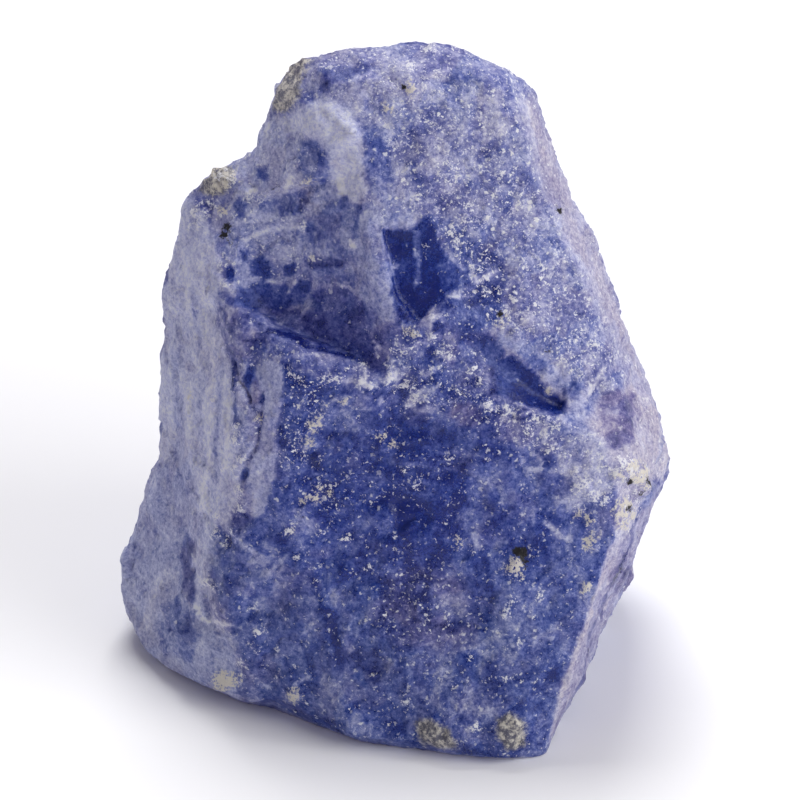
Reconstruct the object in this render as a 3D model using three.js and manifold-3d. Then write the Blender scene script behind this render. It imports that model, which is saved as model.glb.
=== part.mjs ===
// Tanzanite crystal: one rough, broken stone standing on its flat foot.
// It is built as a stone splits: convex blocks grown together, then the hollows,
// the notch and the flake scars cut out of them, and low steps left standing proud.
// Units are millimetres, +Z is up, and the origin is under the middle of the stone.

import * as THREE from 'three';
import { ConvexGeometry } from 'three/addons/geometries/ConvexGeometry.js';
import { ImprovedNoise } from 'three/addons/math/ImprovedNoise.js';
import { TessellateModifier } from 'three/addons/modifiers/TessellateModifier.js';
import { mergeVertices } from 'three/addons/utils/BufferGeometryUtils.js';
import Module from 'manifold-3d';

// Driving dimensions.
// The corners that show from the front are measured on a sighting plane, square to a
// line that looks down on the stone along +Y. Its centre is SIGHT_HEIGHT above ground.
const SIGHT_TILT = THREE.MathUtils.degToRad(35);
const SIGHT_HEIGHT = 7.31;
const CRACK = { depth: 0.6, halfWidth: 0.16 };
// The small faces of the skin, and how far it swells and roughens above its flat foot.
const LONGEST_EDGE = 0.75;
const SHORTEST_EDGE = 0.2;
const SPLIT_PASSES = 20;
const SHRINK_PASSES = 4;
const LEAST_LIKENESS = 0.6;
const SLIVER = 0.004;
// The ends of an edge and the far corners of its two faces.
const POINTS_ROUND_EDGE = 4;
const SWELL = { size: 2.6, height: 0.16 };
const ROUGHNESS = { size: 0.9, height: 0.055 };
const FOOT_HEIGHT = 0.8;
const WELD = 1e-4;
// A lens: the share of its radius and of its depth at each ring, from the brim inward,
// and how unevenly its sides are turned and reach out.
const LENS_SIDES = 9;
const LENS_RINGS = [[1, 0.1], [0.75, -0.5], [0.35, -1]];
const LENS_TURN = { amount: 0.3, beat: 2.7 };
const LENS_REACH = { amount: 0.18, beat: 4.1 };
const FAR_OFF = 30;

const wasm = await Module();
wasm.setup();

// A corner from how far right, up and toward the eye it lies on the sighting plane.
function seen(right, up, toward) {
  const sin = Math.sin(SIGHT_TILT);
  const cos = Math.cos(SIGHT_TILT);
  return new THREE.Vector3(right, up * sin - toward * cos, up * cos + toward * sin + SIGHT_HEIGHT);
}

// A corner from its place over the ground, for the foot and for the back of the stone.
function over(x, y, height = 0) {
  return new THREE.Vector3(x, y, height);
}

// The solid held between the outermost of some corners.
function block(corners) {
  const geometry = new ConvexGeometry(corners);
  geometry.deleteAttribute('normal');
  const welded = mergeVertices(geometry, WELD);
  return new wasm.Manifold(new wasm.Mesh({
    numProp: 3,
    vertProperties: new Float32Array(welded.attributes.position.array),
    triVerts: new Uint32Array(welded.index.array),
  }));
}

function joined(solids) {
  return solids.reduce((whole, solid) => whole.add(solid));
}

function cutBy(solid, cutters) {
  return cutters.reduce((whole, cutter) => whole.subtract(cutter), solid);
}

// The lower block: the big front face, the right side and the overhanging front edge.
function lowerBlock() {
  const foot = [
    over(3.5, -5.0), over(2.4, -5.15), over(1.0, -4.95), over(-0.9, -4.5), over(-2.2, -3.7),
    over(-3.3, -3.0), over(-4.6, -1.2), over(-4.8, 2.0), over(-3.6, 4.2), over(-1.2, 5.1),
    over(1.9, 4.9), over(4.4, 3.9), over(5.3, 1.4), over(4.5, -1.6),
  ];
  const overhang = [
    seen(3.625, -8.92, 0), seen(2.5, -8.95, 0.47), seen(1.0, -8.78, 0.35),
    seen(-1.0, -8.45, 0.19), seen(-2.5, -7.65, -0.25), seen(-3.1, -7.43, -0.57),
  ];
  const leftEdge = [
    seen(-4.35, -5.0, 0.2), seen(-3.75, -3.4, 1.25), seen(-3.45, -2.75, 1.6),
    seen(-3.12, -1.75, 2.05), seen(-2.95, -0.5, 2.5),
  ];
  const band = [
    seen(-3.5, 0.9, 2.55), seen(-3.6, -0.4, 2.15), seen(-3.7, -1.8, 1.65), seen(-3.8, -2.8, 1.25),
  ];
  const rim = [
    seen(-2.85, 0.95, 3.0), seen(-1.4, 0.5, 3.05), seen(-0.25, 0.5, 3.12), seen(1.25, -0.15, 3.05),
    seen(2.8, -0.35, 3.1), seen(4.0, -0.5, 3.05), seen(4.9, -1.1, 2.8), seen(5.35, -1.95, 2.6),
  ];
  const rightEdge = [
    seen(5.43, -3.5, 2.05), seen(4.93, -5.0, 1.5), seen(4.28, -6.6, 0.9), seen(4.02, -7.6, 0.5),
    seen(6.3, -2.25, 0.4),
  ];
  const rightBack = [
    seen(6.5, -0.75, -1.0), seen(6.575, -1.2, -1.36), seen(6.38, -2.25, -3.86),
    seen(5.83, -4.0, -4.97), over(5.2, 4.2, 3.5), over(4.6, 4.9, 7.0),
  ];
  const hidden = [
    over(-4.3, 4.9, 3.0), over(-4.0, 4.9, 8.5), over(-1.0, 5.6, 2.5), over(-0.8, 5.3, 8.8),
    over(2.6, 5.6, 3.0), over(-3.3, 1.0, 10.0), over(2.0, 1.0, 9.6), over(4.6, 1.5, 8.6),
  ];
  return block([
    ...foot, ...overhang, ...leftEdge, ...band, ...rim, ...rightEdge, ...rightBack, ...hidden,
  ]);
}

// The slab that forms the left side, up to its own shoulder.
function leftSlab() {
  const outline = [
    seen(-5.9, -1.5, -2.4), seen(-6.02, 0, -1.5), seen(-5.98, 1.5, -0.6), seen(-5.75, 3.1, 0.2),
    seen(-5.55, 4.5, 0.85), seen(-5.38, 5.05, 1.09), seen(-4.92, 5.48, 1.3), seen(-4.1, 5.85, 1.6),
    seen(-3.9, 6.02, 1.75), seen(-3.7, 6.2, 1.9), seen(-3.6, 5.3, 2.3),
  ];
  const front = [
    seen(-4.7, 4.4, 1.75), seen(-4.15, 3.6, 1.95), seen(-4.3, 1.9, 2.2), seen(-3.95, 0.95, 2.45),
    seen(-3.5, -0.4, 2.3), seen(-3.75, -1.8, 1.8), seen(-4.0, -3.0, 1.15), seen(-4.5, -3.3, 0.45),
    seen(-4.87, -4.0, -0.4), seen(-4.95, -5.0, -1.0),
  ];
  const inside = [
    over(-5.0, 1.5), over(-4.6, -1.0), over(-4.0, 4.2), over(-2.5, 0.0), over(-5.3, 3.6, 4.0),
    over(-5.2, 4.0, 8.5), over(-4.5, 4.1, 10.8), over(-3.4, 3.4, 11.9), over(-2.5, 2.0, 12.0),
  ];
  return block([...outline, ...front, ...inside]);
}

// The low rounded lobe at the foot of the left side.
function lobe() {
  const edge = [
    seen(-3.1, -7.43, -0.57), seen(-4.0, -7.52, -1.04), seen(-5.0, -7.08, -2.0),
    seen(-5.88, -6.7, -2.65), seen(-6.48, -6.25, -3.12), seen(-6.83, -5.5, -3.5),
    seen(-6.93, -4.85, -3.7), seen(-6.75, -3.75, -3.3), seen(-6.62, -2.9, -3.1),
    seen(-6.4, -2.2, -2.64), seen(-6.03, -1.68, -2.2),
  ];
  const crown = [
    seen(-5.4, -1.5, -1.6), seen(-6.0, -2.5, -1.75), seen(-5.25, -2.2, -1.3),
    seen(-5.88, -3.75, -1.75), seen(-6.3, -5.0, -2.45), seen(-5.5, -6.0, -1.75),
    seen(-4.63, -6.1, -0.75), seen(-5.2, -4.6, -1.3), seen(-3.7, -6.4, 0.0),
  ];
  const foot = [
    over(-6.25, -0.3), over(-5.8, -1.2), over(-4.9, -1.95), over(-4.0, -2.75), over(-3.1, -3.0),
    over(-6.3, 1.4), over(-5.5, 3.0), over(-3.0, 3.2), over(-6.3, 2.7, 2.6), over(-5.6, 2.6, 4.8),
    over(-6.7, 1.2, 0.9),
  ];
  return block([...edge, ...crown, ...foot]);
}

// The crown: the long face on the upper right, the rib beside it and the blunt top.
function crown() {
  const top = [
    seen(-2.45, 8.48, 3.0), seen(-1.9, 8.72, 3.3), seen(-1.0, 8.88, 3.5), seen(0.5, 8.82, 3.5),
    seen(1.25, 8.9, 3.5), seen(1.75, 8.7, 3.35), seen(2.55, 8.35, 2.95), seen(3.2, 7.85, 2.6),
    seen(0.9, 8.3, 4.1), seen(-1.8, 8.1, 4.0),
  ];
  const rightOutline = [
    seen(3.38, 7.45, 2.35), seen(3.5, 6.6, 2.2), seen(4.2, 5.0, 1.67), seen(4.93, 3.55, 1.0),
    seen(5.53, 2.1, 0.4), seen(6.02, 0.45, -0.4), seen(6.45, -0.6, -0.95),
  ];
  const longFace = [
    seen(2.5, 7.9, 3.85), seen(3.1, 6.75, 3.4), seen(3.5, 5.25, 3.15), seen(4.5, 3.0, 2.6),
    seen(5.0, 1.6, 2.25), seen(5.6, 0.0, 1.85), seen(5.9, -1.0, 1.7), seen(2.3, 4.6, 3.7),
    seen(0.9, 1.9, 3.6), seen(2.5, 1.6, 3.2), seen(4.0, -0.1, 2.6), seen(0.2, 7.6, 4.4),
    seen(1.2, 5.4, 4.0),
  ];
  const rib = [
    seen(-1.0, 7.9, 4.35), seen(-2.1, 7.3, 4.0), seen(-1.5, 6.5, 4.2), seen(-1.05, 5.0, 4.1),
    seen(-0.8, 3.8, 3.9), seen(-0.3, 2.4, 3.6), seen(-0.1, 1.9, 3.4),
  ];
  const leftFace = [
    seen(-3.15, 7.6, 2.9), seen(-3.15, 7.05, 2.6), seen(-3.7, 6.3, 2.0), seen(-3.9, 5.0, 2.0),
    seen(-3.9, 3.2, 1.75), seen(-3.2, 2.2, 2.0), seen(-1.6, 1.7, 2.6),
  ];
  const hidden = [
    over(-1.7, 3.3, 15.1), over(-0.4, 3.7, 15.2), over(1.3, 3.7, 15.2), over(2.6, 3.6, 13.7),
    over(-3.2, 4.3, 11.5), over(3.9, 4.3, 10.5), over(5.1, 3.8, 7.8), over(-4.2, 4.7, 8.5),
    over(0.4, 5.1, 10.0), over(5.3, 3.2, 5.0), over(-3.0, 2.0, 7.0), over(4.0, 0.0, 6.0),
  ];
  return block([...top, ...rightOutline, ...longFace, ...rib, ...leftFace, ...hidden]);
}

// The waist fills between the long face and the rim of the front face.
function waist() {
  return block([
    seen(-0.3, 2.3, 3.45), seen(0.9, 1.95, 3.55), seen(2.5, 1.65, 3.15), seen(4.1, 0.0, 2.55),
    seen(5.4, 0.0, 1.9), seen(5.2, -1.2, 2.55), seen(4.0, -0.45, 2.95), seen(1.25, -0.1, 2.98),
    seen(-0.25, 0.55, 3.05), seen(-0.9, 1.0, 2.95), seen(2.7, -0.2, 3.02),
    over(0.0, 2.5, 8.0), over(4.0, 2.5, 7.0), over(0.5, 2.0, 11.0), over(3.6, 2.0, 10.0),
  ]);
}

// The shelf above the rim of the front face, up to its own crisp back edge.
function shelf() {
  return block([
    seen(-3.85, 1.95, 2.2), seen(-3.25, 1.7, 2.5), seen(-2.32, 1.35, 2.7), seen(-1.2, 1.05, 2.85),
    seen(-0.4, 0.7, 3.0), seen(-0.25, 0.6, 3.1), seen(-1.3, 0.65, 3.0), seen(-2.2, 0.9, 2.95),
    seen(-2.85, 0.98, 2.95), seen(-3.5, 0.95, 2.6), seen(-3.85, 1.3, 2.4),
    over(-3.0, 1.5, 8.0), over(0.5, 1.5, 8.0), over(-2.8, -1.0, 8.0), over(0.5, -1.0, 8.0),
  ]);
}

// The belly hangs between the hollow and the shelf. A crevice parts it from the shelf.
function belly() {
  return block([
    seen(-0.3, 2.2, 3.4), seen(-1.1, 2.35, 2.88), seen(-2.1, 2.25, 2.02), seen(-3.0, 2.0, 1.62),
    seen(-3.3, 1.8, 1.8), seen(-2.4, 1.35, 2.15), seen(-1.3, 1.0, 2.55), seen(-0.4, 0.7, 2.85),
    seen(0.3, 1.6, 3.2), over(-2.6, 1.8, 7.0), over(0.5, 1.5, 8.0), over(0.5, 1.8, 9.6),
    over(-2.4, 2.4, 8.6),
  ]);
}

// The heel ties the slab, the lobe and the front face together low on the left.
function heel() {
  return block([
    seen(-4.95, -5.0, -0.95), seen(-4.87, -4.0, -0.3), seen(-4.5, -3.2, 0.55), seen(-4.0, -2.9, 1.2),
    seen(-3.7, -3.3, 1.35), seen(-4.2, -4.6, 0.55), seen(-4.5, -5.4, -0.05), seen(-4.25, -6.3, -0.2),
    seen(-3.5, -7.0, -0.15), over(-3.0, -1.5, 3.0), over(-3.0, -1.5, 6.0), over(-3.2, -1.5, 1.0),
  ]);
}

// The cheek: a low swelling where the waist, the front face and the right side meet.
function cheek() {
  return block([
    seen(4.6, -0.4, 2.7), seen(5.3, 0.3, 2.05), seen(5.35, -1.95, 2.7), seen(6.0, -2.4, 1.6),
    seen(6.35, -2.1, 0.6), seen(6.52, -0.85, -0.2), seen(6.15, 0.1, 0.4), seen(5.75, -1.1, 2.2),
    seen(6.4, -1.5, 0.8), seen(5.7, 0.2, 1.5), over(4.0, -0.5, 6.0), over(4.2, 0.5, 7.5),
    over(4.6, 1.0, 8.5),
  ]);
}

// A small knob low on the right side.
function knob() {
  return block([
    seen(5.35, -4.0, -3.6), seen(5.75, -3.95, -3.9), seen(5.92, -4.25, -4.1), seen(5.9, -4.55, -4.1),
    seen(5.6, -4.85, -3.9), seen(5.3, -4.9, -3.6), seen(5.2, -4.4, -3.3), seen(5.0, -4.4, -4.6),
    seen(5.5, -4.3, -5.0),
  ]);
}

// The hollow on the upper left, under the flank of the rib. It runs out on the slab.
function leftHollow() {
  const flank = [
    seen(-1.0, 5.6, 4.2), seen(-1.05, 4.9, 4.0), seen(-1.08, 3.25, 3.8), seen(-0.4, 2.05, 3.45),
  ];
  const valley = [seen(-2.3, 5.4, 2.9), seen(-2.3, 2.3, 1.95), seen(-3.2, 2.0, 1.6)];
  const left = [seen(-3.9, 4.5, 2.1), seen(-4.15, 3.2, 2.05), seen(-4.2, 2.3, 2.05)];
  const open = [
    seen(-1.0, 5.6, 7.0), seen(-0.4, 2.05, 7.0), seen(-4.4, 4.6, 6.0), seen(-4.4, 2.05, 6.0),
    seen(-2.3, 5.6, 6.0),
  ];
  return block([...flank, ...valley, ...left, ...open]);
}

// The pane on the right of the rib, where the stone is clear and deep blue. It is sunk
// along the rib and runs out level on the right.
function pane() {
  const floor = [
    seen(-0.4, 4.3, 3.7), seen(-0.25, 3.5, 3.5), seen(-0.05, 2.5, 3.3), seen(0.4, 1.95, 3.3),
    seen(1.35, 2.4, 3.6), seen(1.6, 3.4, 3.72), seen(0.75, 4.4, 3.88),
  ];
  const open = floor.map((corner) => corner.clone().add(towardEye(3)));
  return block([...floor, ...open]);
}

// The wedge notch between the long face and the rim: a broad valley with a steep side.
function wedgeNotch() {
  const bottom = [
    seen(1.6, 1.45, 3.15), seen(2.5, 0.75, 2.8), seen(3.4, 0.15, 2.55), seen(4.05, -0.15, 2.4),
  ];
  const lips = [
    seen(1.43, 1.8, 3.6), seen(2.45, 1.75, 3.45), seen(3.35, 1.15, 3.2), seen(4.15, 0.45, 2.85),
    seen(1.5, 1.1, 3.5), seen(2.3, 0.1, 3.35), seen(3.6, -0.3, 3.2), seen(4.2, -0.4, 3.0),
  ];
  const open = lips.map((corner) => corner.clone().add(towardEye(2)));
  return block([...bottom, ...lips, ...open]);
}

// A flake scar high on the back, and a longer one low on its left. Each has a floor
// inside the stone and a wider mouth outside it.
function backScars() {
  const upper = block([
    over(-1.6, 3.6, 13.4), over(0.2, 3.3, 14.2), over(1.7, 3.6, 12.9), over(1.9, 4.3, 10.8),
    over(0.6, 4.7, 9.2), over(-0.9, 4.6, 10.2), over(-1.8, 4.1, 12.0),
    over(-2.6, 6.5, 14.6), over(0.3, 6.5, 15.8), over(2.9, 6.5, 13.8), over(3.1, 6.5, 10.2),
    over(0.8, 6.5, 7.9), over(-1.7, 6.5, 9.2), over(-3.0, 6.5, 12.2),
  ]);
  const lower = block([
    over(-4.6, 4.2, 7.6), over(-3.4, 4.6, 8.7), over(-2.2, 4.9, 7.4), over(-2.3, 5.0, 4.4),
    over(-3.2, 4.8, 2.0), over(-4.9, 3.9, 2.6), over(-5.6, 6.5, 8.6), over(-3.3, 6.5, 10.2),
    over(-1.4, 6.5, 8.2), over(-1.5, 6.5, 3.6), over(-3.0, 6.5, 0.7), over(-5.9, 6.5, 1.6),
  ]);
  return [upper, lower];
}

// The back: a tall plate that covers the seam between the crown and the lower block.
function backPlate() {
  return block([
    over(-3.0, 4.8), over(2.6, 5.1), over(3.6, 4.9, 3.0), over(3.1, 4.7, 9.4), over(1.8, 4.2, 12.4),
    over(-0.6, 4.5, 12.6), over(-2.7, 4.7, 10.2), over(-3.5, 5.0, 4.0), over(-1.0, 5.7, 2.0),
    over(1.6, 5.7, 3.2), over(0.5, 5.5, 8.0), over(-2.0, 2.0), over(2.0, 2.0), over(1.5, 1.5, 11.0),
    over(-2.0, 1.5, 11.0),
  ]);
}

// A small dip in the middle of the blunt top.
function topDip() {
  return block([
    seen(-0.35, 8.62, 4.0), seen(-0.9, 9.1, 4.2), seen(0.3, 9.1, 4.2), seen(-0.3, 8.2, 5.6),
    seen(-0.9, 9.1, 5.6), seen(0.4, 9.1, 5.6), over(-0.35, 3.5, 16.6), over(-0.9, 3.5, 17.6),
    over(0.3, 3.5, 17.6),
  ]);
}

// The crack that runs down the left slab, in two straight stretches.
function crack() {
  const route = [seen(-4.2, 1.3, 2.4), seen(-3.5, -0.35, 2.35), seen(-3.85, -1.9, 1.75)];
  return [0, 1].map((stretch) => {
    const ends = [route[stretch], route[stretch + 1]];
    return block(ends.flatMap((end) => [
      end.clone().add(towardEye(-CRACK.depth)),
      end.clone().add(towardEye(CRACK.depth)).add(over(-CRACK.halfWidth, 0)),
      end.clone().add(towardEye(CRACK.depth)).add(over(CRACK.halfWidth, 0)),
    ]));
  });
}

function towardEye(distance) {
  return seen(0, 0, distance).sub(seen(0, 0, 0));
}

// A shallow many-sided lens round a point of the surface. Sunk, it is the tool that
// leaves a dish; raised, it is a low lump. Its sides are uneven, so no two look alike.
function lens({ centre, normal }, { radius, depth, raised }) {
  const inward = raised ? -1 : 1;
  const corners = [new THREE.Vector3(0, 0, inward * radius)];
  LENS_RINGS.forEach(([share, level]) => {
    for (let side = 0; side < LENS_SIDES; side += 1) {
      const turn = LENS_TURN.amount * Math.sin(side * LENS_TURN.beat + centre.x);
      const angle = (side + turn) * 2 * Math.PI / LENS_SIDES;
      const stretch = 1 + LENS_REACH.amount * Math.sin(side * LENS_REACH.beat + centre.z);
      const reach = radius * share * stretch;
      const height = inward * level * depth;
      corners.push(new THREE.Vector3(reach * Math.cos(angle), reach * Math.sin(angle), height));
    }
  });
  const lean = new THREE.Quaternion().setFromUnitVectors(new THREE.Vector3(0, 0, 1), normal);
  return block(corners.map((corner) => corner.applyQuaternion(lean).add(centre)));
}

// The point of a solid that a ray meets first, and the way its face looks there.
function struck(solid, origin, direction) {
  const target = new THREE.Mesh(meshOf(solid));
  const [hit] = new THREE.Raycaster(origin, direction).intersectObject(target);
  return { centre: hit.point, normal: hit.face.normal };
}

// The sides of the stone, each with how far off a ray starts and the way that it runs.
// Places on the front are given right and up on the sighting plane; on the other sides
// they are given along the ground and up.
const FRONT = { from: (right, up) => seen(right, up, FAR_OFF), way: () => towardEye(-1) };
const BACK = { from: (x, height) => over(x, FAR_OFF, height), way: () => over(0, -1) };
const RIGHT = { from: (y, height) => over(FAR_OFF, y, height), way: () => over(-1, 0) };
const LEFT = { from: (y, height) => over(-FAR_OFF, y, height), way: () => over(1, 0) };

// Lenses laid on one side, each given as [along, up, radius, depth].
function laidOn(side, solid, places, raised = false) {
  return places.map(([along, up, radius, depth]) => {
    const spot = struck(solid, side.from(along, up), side.way());
    return lens(spot, { radius, depth, raised });
  });
}

// Dishes: the ring on the front face, pits round the waist and scars over the long face.
const FRONT_DISHES = [
  [3.25, -1.5, 0.6, 0.16], [-1.4, -0.9, 1.0, 0.12], [2.95, -3.75, 0.2, 0.12], [-4.5, 4.3, 0.25, 0.2],
  [0.2, -2.6, 0.8, 0.08], [3.4, -7.6, 0.5, 0.12], [3.75, -6.8, 0.25, 0.12], [-1.0, 7.6, 0.6, 0.1],
  [-0.1, 6.2, 0.8, 0.14], [2.2, 6.3, 0.9, 0.1], [3.9, 2.8, 0.8, 0.1], [2.6, 3.1, 0.5, 0.12],
  [-3.0, 4.9, 0.5, 0.12], [-4.9, 2.2, 0.7, 0.1], [-6.1, -3.4, 0.6, 0.1], [0.7, 1.1, 0.4, 0.14],
  [4.9, -1.5, 0.45, 0.14], [-3.2, -5.2, 0.8, 0.14], [1.6, -5.6, 1.1, 0.1], [-0.9, -6.4, 0.9, 0.1],
];
const FRONT_LUMPS = [
  [2.9, -4.05, 0.3, 0.12], [0.85, -8.3, 0.45, 0.12], [2.8, -8.15, 0.38, 0.12],
  [-4.05, -0.95, 0.2, 0.14], [4.6, -2.15, 0.35, 0.14], [5.55, -1.75, 0.4, 0.16],
  [-4.4, 5.3, 0.4, 0.12], [-2.75, 7.6, 0.5, 0.12], [0.9, 0.5, 0.35, 0.14], [1.4, 0.2, 0.3, 0.12],
  [3.3, -0.6, 0.3, 0.1], [-2.6, -7.3, 0.25, 0.12], [-4.45, -7.05, 0.3, 0.1], [0.3, 8.1, 0.5, 0.12],
  [-1.9, 6.6, 0.9, 0.14], [2.9, 1.9, 0.5, 0.12], [4.4, 0.4, 0.5, 0.14], [-5.4, -5.4, 0.9, 0.12],
];
const BACK_DISHES = [
  [1.8, 6.4, 1.5, 0.25], [-0.8, 6.8, 1.1, 0.2], [3.6, 6.2, 0.9, 0.2], [0.2, 2.6, 1.3, 0.22],
  [-5.4, 7.0, 0.7, 0.15], [0.4, 15.2, 0.7, 0.15], [2.4, 11.6, 0.8, 0.2], [-5.7, 2.6, 0.6, 0.12],
  [4.2, 2.6, 0.8, 0.18],
];
const BACK_LUMPS = [
  [-0.6, 9.2, 0.9, 0.2], [2.9, 8.4, 0.8, 0.18], [-3.4, 3.6, 0.8, 0.2], [2.4, 3.6, 0.7, 0.18],
  [-4.6, 10.0, 0.5, 0.12], [1.2, 12.2, 0.5, 0.14],
];
const RIGHT_DISHES = [
  [0.6, 3.4, 1.3, 0.22], [-2.0, 2.6, 0.9, 0.14], [2.8, 6.4, 1.0, 0.2], [1.2, 8.6, 0.9, 0.15],
  [2.2, 12.0, 0.8, 0.15],
];
const RIGHT_LUMPS = [[2.6, 3.4, 0.9, 0.2], [-0.4, 5.4, 0.8, 0.16], [-2.6, 4.6, 0.6, 0.1]];
const LEFT_DISHES = [[1.8, 8.4, 1.0, 0.14], [0.2, 6.0, 0.9, 0.12], [2.4, 4.9, 0.8, 0.16]];
const LEFT_LUMPS = [[2.6, 10.6, 0.7, 0.12], [0.6, 2.2, 0.7, 0.1]];

function meshOf(solid) {
  const { vertProperties, triVerts } = solid.getMesh();
  const geometry = new THREE.BufferGeometry();
  geometry.setAttribute('position', new THREE.BufferAttribute(new Float32Array(vertProperties), 3));
  geometry.setIndex(new THREE.BufferAttribute(new Uint32Array(triVerts), 1));
  return geometry;
}

// The skin in small even faces, so that it can swell and roughen between its corners.
function inSmallFaces(geometry) {
  const longEdgesSplit = new TessellateModifier(LONGEST_EDGE, SPLIT_PASSES).modify(geometry);
  return withoutShortEdges(mergeVertices(longEdgesSplit, WELD));
}

// The skin as a net: its points, its faces, and which faces meet at each point.
function netOf(geometry) {
  const { position } = geometry.attributes;
  const points = [];
  for (let point = 0; point < position.count; point += 1) {
    points.push(new THREE.Vector3().fromBufferAttribute(position, point));
  }
  const faces = [];
  const facesAt = points.map(() => new Set());
  for (let start = 0; start < geometry.index.count; start += 3) {
    const corners = [0, 1, 2].map((offset) => geometry.index.getX(start + offset));
    corners.forEach((corner) => facesAt[corner].add(faces.length));
    faces.push(corners);
  }
  return { points, faces, facesAt };
}

// Square to a face, and twice as long as the face is large.
function upright({ points }, corners) {
  const [a, b, c] = corners.map((corner) => points[corner]);
  return b.clone().sub(a).cross(c.clone().sub(a));
}

// The points that share a face with a point, and the point itself.
function around({ faces, facesAt }, point) {
  return new Set([...facesAt[point]].flatMap((face) => faces[face]));
}

// How sharply the skin bends at a point: 0 on a flat face, more on an edge or a tip.
function sharpness(net, point) {
  const normals = [...net.facesAt[point]].map((face) => upright(net, net.faces[face]).normalize());
  return Math.max(...normals.map((normal) => 1 - normal.dot(normals[0])));
}

// Whether one end of an edge can move to the other with no face turned over or closed up.
// A sliver has no clear way that it looks, so it may turn.
function canShrink(net, from, to) {
  const ring = around(net, from);
  const shared = [...around(net, to)].filter((point) => ring.has(point));
  const kept = [...net.facesAt[from]].filter((face) => !net.faces[face].includes(to));
  return shared.length === POINTS_ROUND_EDGE && kept.every((face) => {
    const corners = net.faces[face];
    const before = upright(net, corners);
    const after = upright(net, corners.map((corner) => (corner === from ? to : corner)));
    const likeness = after.clone().normalize().dot(before.clone().normalize());
    const wasSliver = before.length() < SLIVER;
    return wasSliver || (after.length() > SLIVER && likeness > LEAST_LIKENESS);
  });
}

// Moves one end of an edge to the other and drops the faces that lay along the edge.
function shrink({ faces, facesAt }, from, to) {
  [...facesAt[from]].forEach((face) => {
    if (faces[face].includes(to)) {
      faces[face].forEach((corner) => facesAt[corner].delete(face));
    } else {
      faces[face] = faces[face].map((corner) => (corner === from ? to : corner));
      facesAt[to].add(face);
    }
  });
  facesAt[from].clear();
}

// Shrinks a short edge into its sharper end, or else into the other one.
function shrinkIfShort(net, start, end) {
  const alive = net.facesAt[start].size > 0 && around(net, start).has(end);
  if (!alive || net.points[start].distanceTo(net.points[end]) >= SHORTEST_EDGE) {
    return;
  }
  const startIsFlatter = sharpness(net, start) < sharpness(net, end);
  const [flatter, sharper] = startIsFlatter ? [start, end] : [end, start];
  if (canShrink(net, flatter, sharper)) {
    shrink(net, flatter, sharper);
  } else if (canShrink(net, sharper, flatter)) {
    shrink(net, sharper, flatter);
  }
}

function withoutShortEdges(geometry) {
  const net = netOf(geometry);
  for (let pass = 0; pass < SHRINK_PASSES; pass += 1) {
    net.points.forEach((_, start) => {
      const ends = [...around(net, start)].filter((end) => end > start);
      ends.forEach((end) => shrinkIfShort(net, start, end));
    });
  }
  const live = net.faces.filter((corners, face) => net.facesAt[corners[0]].has(face));
  const points = live.flat().map((corner) => net.points[corner]);
  return mergeVertices(new THREE.BufferGeometry().setFromPoints(points), WELD);
}

// Smooth noise as an arrow at a point: one noise field, read at three places far apart.
function drift(point, size) {
  const noise = new ImprovedNoise();
  const places = [over(0, 0, 0), over(31.4, 7.7, 3.1), over(5.3, 57.2, 19.9)];
  const [x, y, z] = places.map((place) => noise.noise(...place.addScaledVector(point, 1 / size)));
  return new THREE.Vector3(x, y, z);
}

// The worn, uneven skin of a broken stone. Every corner drifts a little, and less and
// less toward the ground, so the foot stays flat.
function worn(geometry) {
  const { position } = geometry.attributes;
  for (let index = 0; index < position.count; index += 1) {
    const corner = new THREE.Vector3().fromBufferAttribute(position, index);
    const fade = THREE.MathUtils.smoothstep(corner.z, 0, FOOT_HEIGHT);
    const moved = [SWELL, ROUGHNESS].reduce(
      (sum, { size, height }) => sum.addScaledVector(drift(corner, size), fade * height),
      corner.clone(),
    );
    position.setXYZ(index, ...moved);
  }
  return geometry;
}

// Moves the stone so that the origin is on the ground under the middle of its box.
function centred(geometry) {
  geometry.computeBoundingBox();
  const middle = geometry.boundingBox.getCenter(new THREE.Vector3());
  return geometry.translate(-middle.x, -middle.y, 0);
}

const blocks = joined([
  lowerBlock(), leftSlab(), lobe(), crown(), waist(), heel(), cheek(), knob(), backPlate(),
]);
const carved = cutBy(blocks, [leftHollow(), pane(), wedgeNotch(), topDip()]);
const hollowed = cutBy(joined([carved, shelf(), belly()]), [...crack(), ...backScars()]);
const dished = cutBy(hollowed, [
  ...laidOn(FRONT, hollowed, FRONT_DISHES), ...laidOn(BACK, hollowed, BACK_DISHES),
  ...laidOn(RIGHT, hollowed, RIGHT_DISHES), ...laidOn(LEFT, hollowed, LEFT_DISHES),
]);
const stone = joined([
  dished,
  ...laidOn(FRONT, dished, FRONT_LUMPS, true), ...laidOn(BACK, dished, BACK_LUMPS, true),
  ...laidOn(RIGHT, dished, RIGHT_LUMPS, true), ...laidOn(LEFT, dished, LEFT_LUMPS, true),
]);

const material = new THREE.MeshStandardMaterial({ color: 0x4b5596, roughness: 0.45, metalness: 0 });
const crystal = new THREE.Mesh(centred(worn(inSmallFaces(meshOf(stone)))), material);
crystal.name = 'crystal';

const part = new THREE.Group();
part.add(crystal);

export default part;
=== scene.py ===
# %% [markdown]
# # A rough tanzanite crystal
# The real object is one broken crystal of tanzanite, about as tall as a thumbnail is
# wide. Its body is clear violet blue, but most of its skin is frosted and peppered with
# tiny white flecks, so it looks milky where it is rough and deep blue where it is clean.
# The lesson takes the measured solid of the stone, gives it a fine skin with numpy, marks
# its zones one by one, and builds one see-through material that reads those marks.
#
# First comes the measured solid. It already has the right size and stands on the ground,
# so everything below is fitted to it.

import bmesh
import bpy
import numpy as np
from mathutils import Matrix, Vector


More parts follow.
